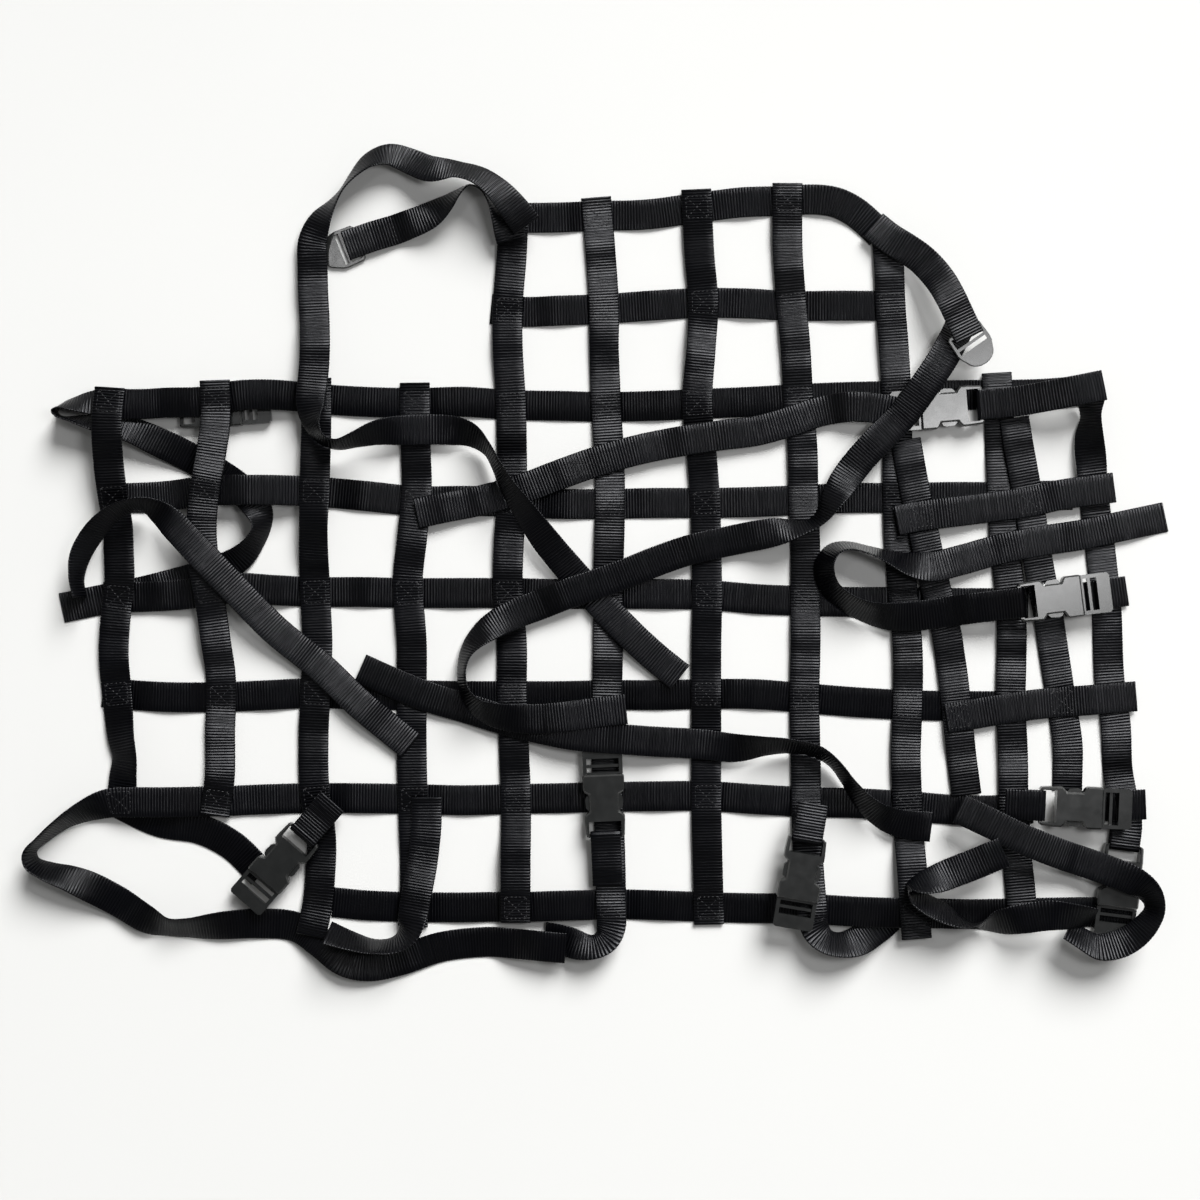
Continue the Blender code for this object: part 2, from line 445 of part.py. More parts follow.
def kept_sections(strap):
    """Indices of the sections that hold the strap's shape within the tolerance."""
    half = WEBBING_WIDTH / 2
    weight = np.array([1.0, 1.0, HEIGHT_WEIGHT])
    edges = [(strap.middle + side * half * strap.across) * weight for side in (-1, 1)]
    travel = np.linalg.norm(np.diff(strap.middle, axis=0), axis=1)
    along = np.concatenate([[0.0], np.cumsum(travel)])
    keep = {0, len(along) - 1}
    spans = [(0, len(along) - 1)]
    while spans:
        first, last = spans.pop()
        if last - first < 2:
            continue
        share = (along[first + 1:last] - along[first]) / (along[last] - along[first])
        error = np.zeros(last - first - 1)
        for edge in edges:
            straight = edge[first] + share[:, None] * (edge[last] - edge[first])
            error = np.maximum(error, np.linalg.norm(edge[first + 1:last] - straight, axis=1))
        if error.max() > PLAN_TOLERANCE:
            middle = first + 1 + int(error.argmax())
            keep.add(middle)
            spans += [(first, middle), (middle, last)]
    return sorted(keep)


def band_object(name, strap, finish):
    """One closed solid: a rectangle of webbing carried along the strap's frames.

    The wide sides are split along matching diagonals, so a twisted stretch keeps its thickness.
    """
    half_width = WEBBING_WIDTH / 2
    half_thickness = WEBBING_THICKNESS / 2
    verts = []
    for i in kept_sections(strap):
        for side, out in ((-1, -1), (1, -1), (1, 1), (-1, 1)):
            verts.append(strap.middle[i] + side * half_width * strap.across[i]
                         + out * half_thickness * strap.face[i])
    faces = [(3, 2, 1, 0)]
    last = len(verts) - 4
    for start in range(0, last, 4):
        for near, after in ((0, 1), (1, 2), (2, 3), (3, 0)):
            far = start + 4 + near
            if near in (0, 1):
                faces.append((start + near, start + after, start + 4 + after))
                faces.append((start + near, start + 4 + after, far))
            else:
                faces.append((start + near, start + after, far))
                faces.append((start + after, start + 4 + after, far))
    faces.append((last, last + 1, last + 2, last + 3))
    mesh = bpy.data.meshes.new(name)
    mesh.from_pydata([tuple(v) for v in verts], [], faces)
    mesh.materials.append(finish)
    made = bpy.data.objects.new(name, mesh)
    bpy.context.collection.objects.link(made)
    return made


class Net:
    """Everything laid so far."""

    def __init__(self):
        self.field = HeightField()
        self.webbing = material("webbing", (0.012, 0.012, 0.014), 0.62)
        self.plastic = material("plastic", (0.014, 0.015, 0.015), 0.30)

    def lay_band(self, path, height):
        """Mark a strap's upper side on the height field."""
        fine = np.linspace(0, len(path.x) - 1, int(path.along[-1] / 0.001) + 2)
        index = np.arange(len(path.x))
        x, y, roll, east, north, z = [np.interp(fine, index, row) for row in (
            path.x, path.y, path.roll, path.east, path.north, height)]
        share = np.linspace(-1, 1, 27)[None, :] * WEBBING_WIDTH / 2
        out = share * np.cos(roll)[:, None]
        top = z[:, None] + share * np.sin(roll)[:, None]
        top = top + (WEBBING_THICKNESS / 2 * np.abs(np.cos(roll)))[:, None]
        self.field.lay(x[:, None] - north[:, None] * out, y[:, None] + east[:, None] * out, top)

    def tuck(self, stations):
        """Lay the end of a later strap now, so that what comes between rests on it."""
        ground = self.field.copy()
        path = Path(stations)
        self.lay_band(path, drape(rest_on(self.field, path), path) + path.lift)
        return ground, path.along[-1]

    def strap(self, name, stations, bar=None, under=0, tucked=None):
        """Lay one strap.

        Its first stations, up to under, lie below its own later ones.  With tucked, its far end
        lies below what was laid since then.
        """
        if bar is not None:
            stations = stations + [(*plan_station(bar[0], bar[1]), 0, 0)]
        path = Path(stations)
        need = rest_on(self.field, path)
        if under:
            first = Path(stations[:under])
            self.lay_band(first, drape(rest_on(self.field, first), first) + first.lift)
            turned_back = path.along > first.along[-1] + WEBBING_WIDTH
            need = np.where(turned_back, rest_on(self.field, path), need)
        if tucked is not None:
            ground, length = tucked
            below = path.along[-1] - path.along < length + TUCK_MARGIN
            need = np.where(below, rest_on(ground, path), need)
        if bar is not None:
            target = bar[2] + WRAP_RADIUS
            near_bar = path.along[-1] - path.along < WRAP_RETURN
            need = np.where(near_bar, np.maximum(need, target), need)
        height = drape(need, path) + path.lift
        if bar is not None:
            ramp = np.clip(1 - (path.along[-1] - path.along) / WEBBING_WIDTH, 0, 1)
            height = height + (target - height[-1]) * ramp**2 * (3 - 2 * ramp)
        band_object(name, Strap(path, height, bar), self.webbing)
        self.lay_band(path, height)

    def footprint(self, low, high, half, place, heading):
        """Plan points all over a rectangle that is given in a hard piece's own frame."""
        x, y = np.meshgrid(np.linspace(low, high, 60), np.linspace(-half, half, 50))
        return (place[0] + math.cos(heading) * x - math.sin(heading) * y,
                place[1] + math.sin(heading) * x + math.cos(heading) * y)

    def hard_piece(self, name, mesh, place, height, heading):
        made = bpy.data.objects.new(name, mesh)
        made.location = (place[0], place[1], height)
        made.rotation_euler = (0.0, 0.0, heading)
        bpy.context.collection.objects.link(made)

    def buckle(self, number, meshes):
        """Set one buckle down on what lies below it and return the middle of its bar."""
        x, y, degrees = BUCKLES[number]
        place = plan_point(x, y)
        heading = math.radians(degrees)
        whole = self.footprint(BAR_X - BAR_HALF, BODY_HALF_LENGTH, BODY_HALF_WIDTH, place, heading)
        body = self.footprint(-BODY_HALF_LENGTH, BODY_HALF_LENGTH, BODY_HALF_WIDTH, place, heading)
        ladder = self.footprint(BODY_HALF_LENGTH, LADDER_END, LADDER_HALF_WIDTH, place, heading)
        wrap = self.footprint(BAR_X - WRAP_RETURN, BAR_X, WEBBING_WIDTH / 2, place, heading)
        below_wrap = WRAP_RADIUS + WEBBING_THICKNESS / 2 + LAYER_GAP
        height = max(BODY_HALF_HEIGHT,
                     self.field.highest(*whole) + BUCKLE_GAP + BODY_HALF_HEIGHT,
                     self.field.highest(*ladder) + BUCKLE_GAP + LADDER_HALF_HEIGHT,
                     self.field.highest(*wrap) + below_wrap)
        for part, mesh in meshes.items():
            self.hard_piece(f"buckle_{number}_{part}", mesh, place, height, heading)
        self.field.lay(*body, np.full(body[0].shape, height + BODY_HALF_HEIGHT))
        self.field.lay(*ladder, np.full(ladder[0].shape, height + LADDER_HALF_HEIGHT))
        return (place[0] + BAR_X * math.cos(heading), place[1] + BAR_X * math.sin(heading), height)

    def ladder_lock(self, number, mesh):
        x, y, degrees = LADDER_LOCKS[number]
        place = plan_point(x, y)
        heading = math.radians(degrees)
        whole = self.footprint(LOCK_BACK, LOCK_FRONT + LOCK_TAB_RADIUS, LOCK_HALF_WIDTH,
                               place, heading)
        height = max(0.0, self.field.highest(*whole) + BUCKLE_GAP) + LOCK_HALF_HEIGHT
        self.hard_piece(f"ladder_lock_{number}", mesh, place, height, heading)
        self.field.lay(*whole, np.full(whole[0].shape, height + LOCK_HALF_HEIGHT))


# ---- hard pieces

def plate(outline, half_height):
    """A closed plate from an outline that runs anticlockwise."""
    count = len(outline)
    verts = [(x, y, -half_height) for x, y in outline] + [(x, y, half_height) for x, y in outline]
    faces = [tuple(reversed(range(count))), tuple(range(count, 2 * count))]
    faces += [(i, (i + 1) % count, count + (i + 1) % count, count + i) for i in range(count)]
    mesh = bpy.data.meshes.new("plate")
    mesh.from_pydata(verts, [], faces)
    made = bpy.data.objects.new("plate", mesh)
    bpy.context.collection.objects.link(made)
    return made


def box(low, high):
    """A closed box between two corners."""
    outline = [(low[0], low[1]), (high[0], low[1]), (high[0], high[1]), (low[0], high[1])]
    made = plate(outline, (high[2] - low[2]) / 2)
    made.location.z = (low[2] + high[2]) / 2
    return made


def shaped(name, blank, cutters, bevel, finish):
    """The blank with soft edges, if any, and the cutters taken out, as one finished mesh."""
    if bevel:
        soft = blank.modifiers.new("soft edges", "BEVEL")
        soft.width = bevel
        soft.segments = 1
        soft.limit_method = "ANGLE"
        soft.angle_limit = math.radians(50)
    for cutter in cutters:
        cutter.hide_render = True
        cutter.display_type = "WIRE"
        cut = blank.modifiers.new("cut", "BOOLEAN")
        cut.operation = "DIFFERENCE"
        cut.object = cutter
    bpy.context.view_layer.update()
    graph = bpy.context.evaluated_depsgraph_get()
    mesh = bpy.data.meshes.new_from_object(blank.evaluated_get(graph))
    mesh.name = name
    mesh.materials.clear()
    mesh.materials.append(finish)
    for piece in [blank] + cutters:
        bpy.data.objects.remove(piece)
    return mesh


def both_sides(half_outline):
    """Mirror one side's outline, given from -X to +X, into a whole anticlockwise outline."""
    lower = [(x, -y) for x, y in half_outline]
    return lower + list(reversed(half_outline))


def socket_mesh(finish):
    """The half of a buckle with the webbing bar and the hollow body with its side windows."""
    end = BAR_X - BAR_HALF
    half = BODY_HALF_LENGTH
    wide = BODY_HALF_WIDTH
    side = [(end, 0.0140), (end + 0.0014, 0.0158), (-half - 0.001, 0.0166), (-0.0150, 0.0166),
            (-0.0125, 0.0140), (-0.0115, 0.0122), (0.0025, 0.0122), (0.0055, wide),
            (half, wide)]
    blank = plate(both_sides(side), BODY_HALF_HEIGHT)
    inner_end = BAR_X + BAR_HALF
    tall = 2 * BODY_HALF_HEIGHT
    cut = CUT_HALF_WIDTH
    slot = box((inner_end, -cut, -tall), (-half - 0.0006, cut, tall))
    above_bar = box((end - 0.002, -cut, BAR_HALF), (inner_end + 0.001, cut, tall))
    below_bar = box((end - 0.002, -cut, -tall), (inner_end + 0.001, cut, -BAR_HALF))
    hollow = box((HOLLOW_START, -HOLLOW_HALF_WIDTH, -HOLLOW_HALF_HEIGHT),
                 (half + 0.002, HOLLOW_HALF_WIDTH, HOLLOW_HALF_HEIGHT))
    cutters = [slot, above_bar, below_bar, hollow]
    return shaped("socket", blank, cutters, SOCKET_SOFT_EDGE, finish)


def plug_mesh(finish):
    """The half of a buckle with the ladder for the webbing, its two spring arms and its guide."""
    start = BODY_HALF_LENGTH + 0.0004
    side = [(-0.0060, 0.0032), (0.0150, 0.0032), (0.0150, 0.0086), (0.0020, 0.0104),
            (-0.0080, 0.0104), (-0.0108, 0.0112), (-0.0108, 0.0128), (-0.0085, 0.0152),
            (-0.0020, 0.0158), (0.0010, 0.0148), (0.0024, 0.0118), (0.0170, 0.0112),
            (start, 0.0120), (start, LADDER_HALF_WIDTH), (LADDER_END - 0.002, LADDER_HALF_WIDTH),
            (LADDER_END, LADDER_HALF_WIDTH - 0.002)]
    blank = plate(both_sides(side), LADDER_HALF_HEIGHT)
    tall = 2 * LADDER_HALF_HEIGHT
    cut = CUT_HALF_WIDTH
    slots = [box((low, -cut, -tall), (high, cut, tall)) for low, high in LADDER_SLOTS]
    over_bar = box((LADDER_BAR[0], -cut, LADDER_BAR_TOP), (LADDER_BAR[1], cut, tall))
    return shaped("plug", blank, slots + [over_bar], 0.0, finish)


def lock_mesh(finish):
    """A ladder lock: a frame with two slots and a half-round thumb tab."""
    tab = []
    for angle in range(80, -1, -16):
        turn = math.radians(angle)
        tab.append((LOCK_FRONT + LOCK_TAB_RADIUS * math.cos(turn) * LOCK_TAB_SHARE,
                    LOCK_TAB_RADIUS * math.sin(turn)))
    side = [(LOCK_BACK, 0.0135), (LOCK_BACK + 0.002, 0.0155), (-0.004, LOCK_HALF_WIDTH),
            (LOCK_FRONT - 0.003, 0.0152)] + tab[:-1]
    tip = tab[-1]
    outline = [(x, -y) for x, y in side] + [tip] + list(reversed(side))
    blank = plate(outline, LOCK_HALF_HEIGHT)
    tall = 2 * LOCK_HALF_HEIGHT
    cut = LOCK_CUT_HALF_WIDTH
    slots = [box((low, -cut, -tall), (high, cut, tall)) for low, high in LOCK_SLOTS]
    return shaped("lock", blank, slots, LOCK_SOFT_EDGE, finish)


def build():
    remove_everything()
    net = Net()
    parts = {"socket": socket_mesh(net.plastic), "plug": plug_mesh(net.plastic)}
    lock = lock_mesh(net.plastic)

    net.buckle(8, parts)
    net.strap("row_1", ROW_1, under=18)
    for number, table in ((2, ROW_2), (3, ROW_3), (4, ROW_4)):
        net.strap(f"row_{number}", table)
    net.strap("strap_under_row_5", UNDER_ROW_5)
    net.strap("column_1", COLUMNS[1])
    end_of_column_6 = net.tuck(COLUMNS[6][-TUCKED_STATIONS["column_6"]:])
    net.strap("row_5", ROW_5)
    end_of_column_8 = net.tuck(COLUMNS[8][-TUCKED_STATIONS["column_8"]:])
    net.strap("row_6", ROW_6)
    bar_7 = net.buckle(7, parts)
    net.strap("row_0", ROW_0)
    net.strap("row_0b", ROW_0B)
    ends = {6: end_of_column_6, 8: end_of_column_8}
    for number in (2, 3, 4, 5, 6, 7, 9, 8, 10):
        net.strap(f"column_{number}", COLUMNS[number], tucked=ends.get(number))
    net.strap("column_11", COLUMNS[11], bar=bar_7)
    for number, table in FLAP_COLUMNS.items():
        net.strap(f"flap_column_{number}", table)
    for number, table in FLAP_ROWS.items():
        net.strap(f"flap_row_{number}", table)

    bars = {number: net.buckle(number, parts) for number in (1, 2, 3, 4, 5, 6)}
    net.strap("band_1", BAND_1, bar=bars[1])
    for number, table in ((3, STRAP_3), (4, STRAP_4), (5, STRAP_5), (6, STRAP_6)):
        net.strap(f"buckle_strap_{number}", table, bar=bars[number])
    net.strap("tail_1", TAIL_1)
    net.strap("long_middle", LONG_MIDDLE)
    net.ladder_lock(1, lock)
    net.strap("short_top_left", SHORT_TOP_LEFT)
    net.strap("long_top_left", LONG_TOP_LEFT)
    net.strap("long_top_right", LONG_TOP_RIGHT)
    net.ladder_lock(2, lock)
    net.strap("short_top_right", SHORT_TOP_RIGHT)
    net.strap("long_left", LONG_LEFT)
    net.strap("down_column_4", DOWN_COLUMN_4)
    net.strap("right_loop", RIGHT_LOOP, bar=bars[2])
    net.strap("bottom_loop", BOTTOM_LOOP)
    net.strap("bottom_cross", BOTTOM_CROSS)


build()
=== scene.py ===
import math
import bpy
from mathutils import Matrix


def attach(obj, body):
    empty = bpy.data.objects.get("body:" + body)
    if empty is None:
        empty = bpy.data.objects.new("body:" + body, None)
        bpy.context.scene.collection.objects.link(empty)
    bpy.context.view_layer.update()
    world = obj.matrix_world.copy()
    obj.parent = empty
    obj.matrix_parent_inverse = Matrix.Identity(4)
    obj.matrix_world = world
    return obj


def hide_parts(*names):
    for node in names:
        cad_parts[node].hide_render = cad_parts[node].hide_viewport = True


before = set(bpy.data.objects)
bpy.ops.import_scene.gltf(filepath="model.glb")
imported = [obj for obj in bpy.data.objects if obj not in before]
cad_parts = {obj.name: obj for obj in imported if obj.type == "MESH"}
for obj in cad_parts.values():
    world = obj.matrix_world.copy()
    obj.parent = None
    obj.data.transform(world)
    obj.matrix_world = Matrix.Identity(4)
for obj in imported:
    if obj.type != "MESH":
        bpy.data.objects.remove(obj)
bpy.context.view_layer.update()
# Cargo net of 25 mm webbing, laid out on a pale floor and seen from straight above.
from copy import deepcopy

import bpy
import numpy as np
from mathutils import Vector

# ---- driving sizes, metres
WEBBING_WIDTH = 0.025
WEBBING_THICKNESS = 0.0014
HALF_WIDTH = WEBBING_WIDTH / 2
HALF_THICKNESS = WEBBING_THICKNESS / 2
LAYER_GAP = 0.0004  # kept between webbing that lies on webbing
REST_LIFT = 0.0012  # lifts below this only mean that the webbing rests
BUCKLE_GAP = 0.0004  # kept under a buckle
BEND_RADIUS = 0.105  # how tightly resting webbing curves over an edge
FLAT_REACH = 0.007  # webbing stays flat this far past an edge below it
SOFTENING = 0.0045  # rounding of the resting curve
TUCK_MARGIN = 0.006  # length before a tucked end that also keeps to the ground
TUCKED_STATIONS = {"column_6": 6, "column_8": 6}
ROW_1_UNDER = 18  # stations of the loose end of row 1, which the row runs back over
MILLIMETRES = 1000  # in a metre
UP = np.array([0.0, 0.0, 1.0])

# ---- plan grid: X to the right, Y down the sheet, 30 units to one webbing width
PLAN_UNIT = WEBBING_WIDTH / 30
PLAN_CENTRE = (598.9, 562.2)

# ---- sampling
STEP = 0.003  # spacing of the worked-out points along a strap
CURVE_POINTS = 24  # points of the curve from one station to the next
REST_POINTS = 9  # points across a strap that may touch what lies below
CELL = 0.002  # height grid
FIELD_HALF = (0.52, 0.40)  # half size of the height grid
PLAN_ROUNDING = 0.0022  # evening out of the course in plan
ROLL_ROUNDING = 0.0045  # evening out of the roll
LIFT_ROUNDING = 0.0060  # evening out of the lift

# ---- side-release buckle for 25 mm webbing, metres, X from its bar to its ladder
BAR_X = -0.0315
BAR_HALF = 0.00145
BODY_HALF_LENGTH = 0.0190
BODY_HALF_HEIGHT = 0.0047
BODY_HALF_WIDTH = 0.0172
LADDER_END = 0.0430
LADDER_HALF_WIDTH = 0.0165
LADDER_HALF_HEIGHT = 0.0024
WRAP_RADIUS = 0.0031  # bar centre to the middle of the webbing round it
WRAP_RETURN = 0.014  # doubled length beyond the bar
WRAP_TURN = 22.5  # from one point to the next round the bar, degrees

# ---- ladder lock with a thumb tab, metres
LOCK_HALF_WIDTH = 0.0160
LOCK_BACK = -0.0205
LOCK_FRONT = 0.0030
LOCK_TAB_RADIUS = 0.0130
LOCK_HALF_HEIGHT = 0.0016

# ---- straps: stations of x, y (plan grid), roll (degrees), lift (millimetres above rest)
# A roll or lift of 0 is left out where nothing follows it.
# A roll of 90 stands the webbing on its edge; a positive roll raises the edge on the left
# of the direction in which the table runs.
ROW_1 = [
    (62, 608), (100, 600, 0, 1), (140, 592, 0, 1), (180, 582, 0, 1), (215, 572, 12, 2),
    (240, 560, 34, 1), (256, 544, 60), (264, 527, 66), (260, 509, 24), (244, 491, 2), (220, 474),
    (195, 460, 0, 1), (163, 444, 10, 1), (134, 431, 32), (113, 426, 42), (95, 423, 56), (78, 420, 74),
    (64, 418, 86), (58, 413, 92), (64, 407, 104), (78, 405, 122), (97, 404, 152), (116, 404, 172),
    (135, 405, 180, 1), (168, 404, 180, 3), (205, 403, 180, 1), (240, 397, 180, 3), (275, 396, 180, 3),
    (318, 399, 180, 1), (365, 402, 180, 3), (415, 403, 180), (465, 402, 180, 3), (511, 405, 180),
    (560, 406, 180, 2), (605, 407, 180), (655, 406, 180, 3), (698, 404, 180), (750, 402, 180, 3),
    (798, 399, 180), (850, 397, 180, 2), (896, 396, 180), (975, 395, 180, 1), (1040, 394, 180, 1),
    (1090, 390, 180)]
ROW_2 = [
    (104, 498), (131, 498), (170, 496, 0, 3), (209, 492, 0, 1), (250, 491, 0, 3), (317, 492, 0, 1),
    (365, 496, 0, 3), (416, 501), (465, 501, 0, 3), (512, 502), (560, 504, 0, 3), (609, 504),
    (655, 503, 0, 2), (704, 503), (755, 502, 0, 3), (803, 500), (850, 498, 0, 2), (896, 498),
    (950, 497), (1001, 497), (1072, 495)]
ROW_3 = [
    (104, 597), (140, 597, 0, 2), (180, 595, 0, 1), (215, 591, 0, 1), (240, 588, 0, 1),
    (275, 590, 0, 1), (316, 592), (363, 592, 0, 3), (408, 593), (458, 593, 0, 3), (508, 593),
    (560, 594, 0, 1), (608, 594), (658, 594, 0, 3), (707, 595), (756, 599, 0, 2), (805, 601),
    (852, 602, 0, 1), (903, 602), (960, 603), (1028, 603)]
ROW_4 = [
    (103, 692), (120, 694), (170, 697, 0, 3), (222, 697), (268, 695, 0, 3), (316, 693),
    (365, 695, 0, 2), (412, 695), (462, 696), (512, 696), (560, 696), (607, 695), (657, 695, 0, 2),
    (706, 694), (755, 694, 0, 3), (804, 698), (855, 702, 0, 2), (907, 705), (960, 706), (1028, 706)]
ROW_5 = [
    (566, 945, 0, 1), (520, 942, 0, 1), (480, 942), (440, 947), (400, 960, 4), (370, 965, 12),
    (345, 960, 26), (323, 943, 14), (298, 927), (260, 923), (225, 924, -14), (193, 926, -42),
    (170, 925, -48), (150, 918, -12, 1), (127, 905, 0, 2), (100, 889, 12, 2), (75, 877, 42, 2),
    (51, 869, 62, 1), (36, 861, 74), (34, 850, 80), (46, 838, 76), (66, 822, 66), (88, 810, 44, 1),
    (112, 802, 8), (137, 801, 0, 1), (170, 801, 0, 3), (218, 801, 0, 1), (266, 799, 0, 3), (314, 798),
    (363, 798, 0, 3), (413, 799), (465, 800, 0, 3), (515, 799), (560, 798, 0, 2), (608, 797),
    (656, 796, 0, 3), (706, 796), (756, 799, 0, 3), (806, 802), (855, 803, 0, 2), (907, 806),
    (960, 810), (1000, 810), (1032, 808)]
ROW_6 = [
    (333, 902, 0, 1), (365, 905, 0, 2), (414, 907), (466, 907, 0, 3), (516, 906), (564, 904, 0, 2),
    (611, 904), (660, 905, 0, 3), (708, 907), (760, 908, 0, 2), (810, 908), (860, 910, 0, 2),
    (913, 912), (965, 914), (1021, 913), (1080, 912), (1134, 912)]
ROW_0 = [
    (515, 218, 0, 1), (555, 218, 0, 3), (598, 216), (646, 215, 0, 3), (697, 208), (742, 203, 0, 4),
    (787, 201), (812, 200, 0, 3), (835, 203, 4, 3), (854, 212, 4, 2), (869, 224), (880, 235)]
ROW_0B = [
    (491, 309), (524, 312, 0, 1), (558, 311, 0, 3), (604, 309), (650, 306, 0, 3), (702, 303),
    (748, 304, 0, 4), (791, 306), (840, 306, 0, 3), (904, 306)]
COLUMNS = {
    1: [(116, 390), (114, 425, 0, 3), (115, 460, 0, 2), (117, 500), (120, 545, 0, 4), (121, 580, 0, 1),
        (117, 620, 0, 2), (115, 655, 0, 4), (118, 695), (123, 735, 16, 4), (127, 757, 28, 4),
        (125, 776, 14, 2), (122, 806)],
    2: [(218, 382), (219, 420, 0, 2), (215, 455, 0, 2), (209, 490), (206, 525, 0, 4), (208, 560, 0, 2),
        (213, 600, 0, 1), (219, 645, 0, 4), (222, 690), (221, 735, 0, 4), (221, 775, 0, 1),
        (216, 815)],
    3: [(318, 379), (318, 430, 0, 3), (317, 480), (316, 530, 14, 4), (315, 575, 0, 1),
        (318, 640, 0, 4), (316, 690), (314, 745, 0, 4), (315, 790), (322, 835, 8, 3), (321, 870, 0, 2),
        (318, 905), (312, 935, 0, 1)],
    4: [(415, 383), (416, 446, 0, 4), (417, 490), (413, 535, 0, 5), (408, 582), (412, 640, 0, 4),
        (412, 695), (412, 745, 0, 4), (413, 797), (415, 850, 0, 3), (415, 895), (413, 926)],
    5: [(514, 206), (512, 255, 0, 4), (508, 305), (508, 350, 0, 5), (511, 402), (512, 450, 0, 3),
        (512, 500), (509, 545, 0, 5), (508, 592), (512, 645, 0, 3), (512, 695), (514, 745, 0, 3),
        (516, 800), (516, 855, 0, 4), (516, 921)],
    6: [(596, 198), (601, 260, 0, 3), (604, 308), (604, 347, 14, 4), (606, 405), (609, 455, 0, 4),
        (610, 503), (609, 550, 0, 4), (608, 595), (608, 645, 0, 4), (607, 695), (606, 740), (608, 797),
        (610, 850), (611, 903), (611, 924, 12), (606, 938, 40), (594, 945, 52), (581, 944, 34),
        (568, 940, 6), (555, 937), (545, 936)],
    7: [(696, 190), (699, 255, 0, 4), (703, 303), (701, 346, -14, 4), (697, 402), (701, 450, 0, 4),
        (705, 503), (706, 550, 0, 4), (707, 596), (706, 645, 0, 4), (706, 695), (706, 745, 0, 4),
        (706, 797), (707, 850, 0, 4), (709, 924)],
    8: [(787, 184), (787, 250, 0, 4), (791, 304), (795, 350, 0, 4), (798, 400), (802, 450, 0, 4),
        (803, 501), (805, 550, 0, 2), (805, 601), (805, 645, 0, 4), (804, 698), (805, 750, 0, 3),
        (806, 803), (807, 850, 0, 1), (810, 900), (813, 925, -14), (824, 938, -44), (840, 942, -48),
        (856, 939, -24), (869, 932, -4), (881, 924), (890, 917)],
    9: [(885, 230), (888, 262, 0, 3), (890, 306), (893, 350, 0, 4), (896, 396), (897, 445, 0, 2),
        (897, 498), (899, 550, 0, 3), (903, 602), (907, 652, 0, 4), (907, 705), (905, 755, 0, 4),
        (907, 805), (910, 865, 0, 2), (913, 912), (915, 937)],
    10: [(996, 373), (998, 410, 0, 1), (1001, 480), (1004, 545, 0, 2), (1010, 600), (1011, 648, 0, 3),
         (1010, 703), (1012, 755, 0, 4), (1013, 803), (1017, 860, 0, 2), (1021, 905), (1022, 928)],
    11: [(1087, 396, 26), (1087, 416, 70), (1086, 440, 32, 1), (1090, 470, 0, 1), (1095, 510, 0, 2),
         (1101, 560, 0, 2), (1106, 605, 0, 1), (1109, 680, 0, 2), (1115, 725, 0, 3), (1117, 765, 0, 1),
         (1120, 795), (1124, 822)]}
FLAP_COLUMNS = {
    1: [(905, 440), (912, 480, 0, 1), (922, 530, 0, 3), (933, 580, 0, 1), (946, 635, 0, 3),
        (954, 690, 0, 1), (959, 740, 0, 3), (966, 795)],
    2: [(1013, 418), (1018, 450, 0, 2), (1028, 505, 0, 1), (1038, 570, 0, 2), (1048, 620, 0, 2),
        (1056, 670, 0, 2), (1062, 708, 0, 1), (1067, 745, 0, 3), (1067, 790)]}
FLAP_ROWS = {
    2: [(895, 521), (915, 517), (945, 513, 0, 2), (985, 508, 0, 1), (1028, 502), (1060, 495, 0, 2),
        (1112, 488)],
    3: [(1046, 601), (1085, 597), (1126, 591)],
    4: [(945, 718), (970, 714, 0, 1), (1000, 709), (1035, 704, 0, 2), (1060, 702), (1085, 700, 0, 2),
        (1135, 696)],
    5: [(1056, 806), (1095, 805), (1142, 803)]}
UNDER_ROW_5 = [(108, 798), (160, 822), (200, 829, 0, 1), (232, 845, 0, 1), (262, 874)]
BAND_1 = [(1097, 388), (1062, 395, 0, 4), (1026, 401, 0, 2), (1002, 404, 0, 1)]
BUCKLE_STRAPS = {
    3: [(1000, 801.8), (1019, 802.6, 0, 1)],
    4: [(334.7, 800.3), (318.9, 818.4, 0, 1)],
    5: [(607.8, 883.7), (606.7, 858.7, 0, 1)],
    6: [(810.2, 800.2), (807.2, 818.0, 0, 1)]}
LONG_MIDDLE = [
    (361, 668), (395, 683, 0, 1), (430, 697, 0, 1), (470, 709), (510, 721, 0, 1), (545, 729),
    (580, 735, 0, 1), (620, 738), (660, 741, 0, 2), (705, 744, 0, 1), (732, 747, 12, 3),
    (760, 745, 46, 3), (790, 745, 60, 1), (815, 750, 64, 1), (833, 763, 72, 1), (846, 780, 70, 1),
    (860, 798, 56), (876, 812, 40, 1), (895, 821, 16, 1), (930, 826)]
TAIL_1 = [
    (908, 417), (882, 411, 0, 1), (850, 408, 0, 3), (820, 412, 0, 1), (790, 422, 0, 1),
    (758, 431, 0, 3), (720, 436, 0, 2), (680, 442, 0, 2), (640, 450, 0, 3), (600, 461, 0, 1),
    (560, 475, 0, 3), (520, 490, 0, 1), (480, 501, 0, 2), (445, 508, 0, 1), (417, 514)]
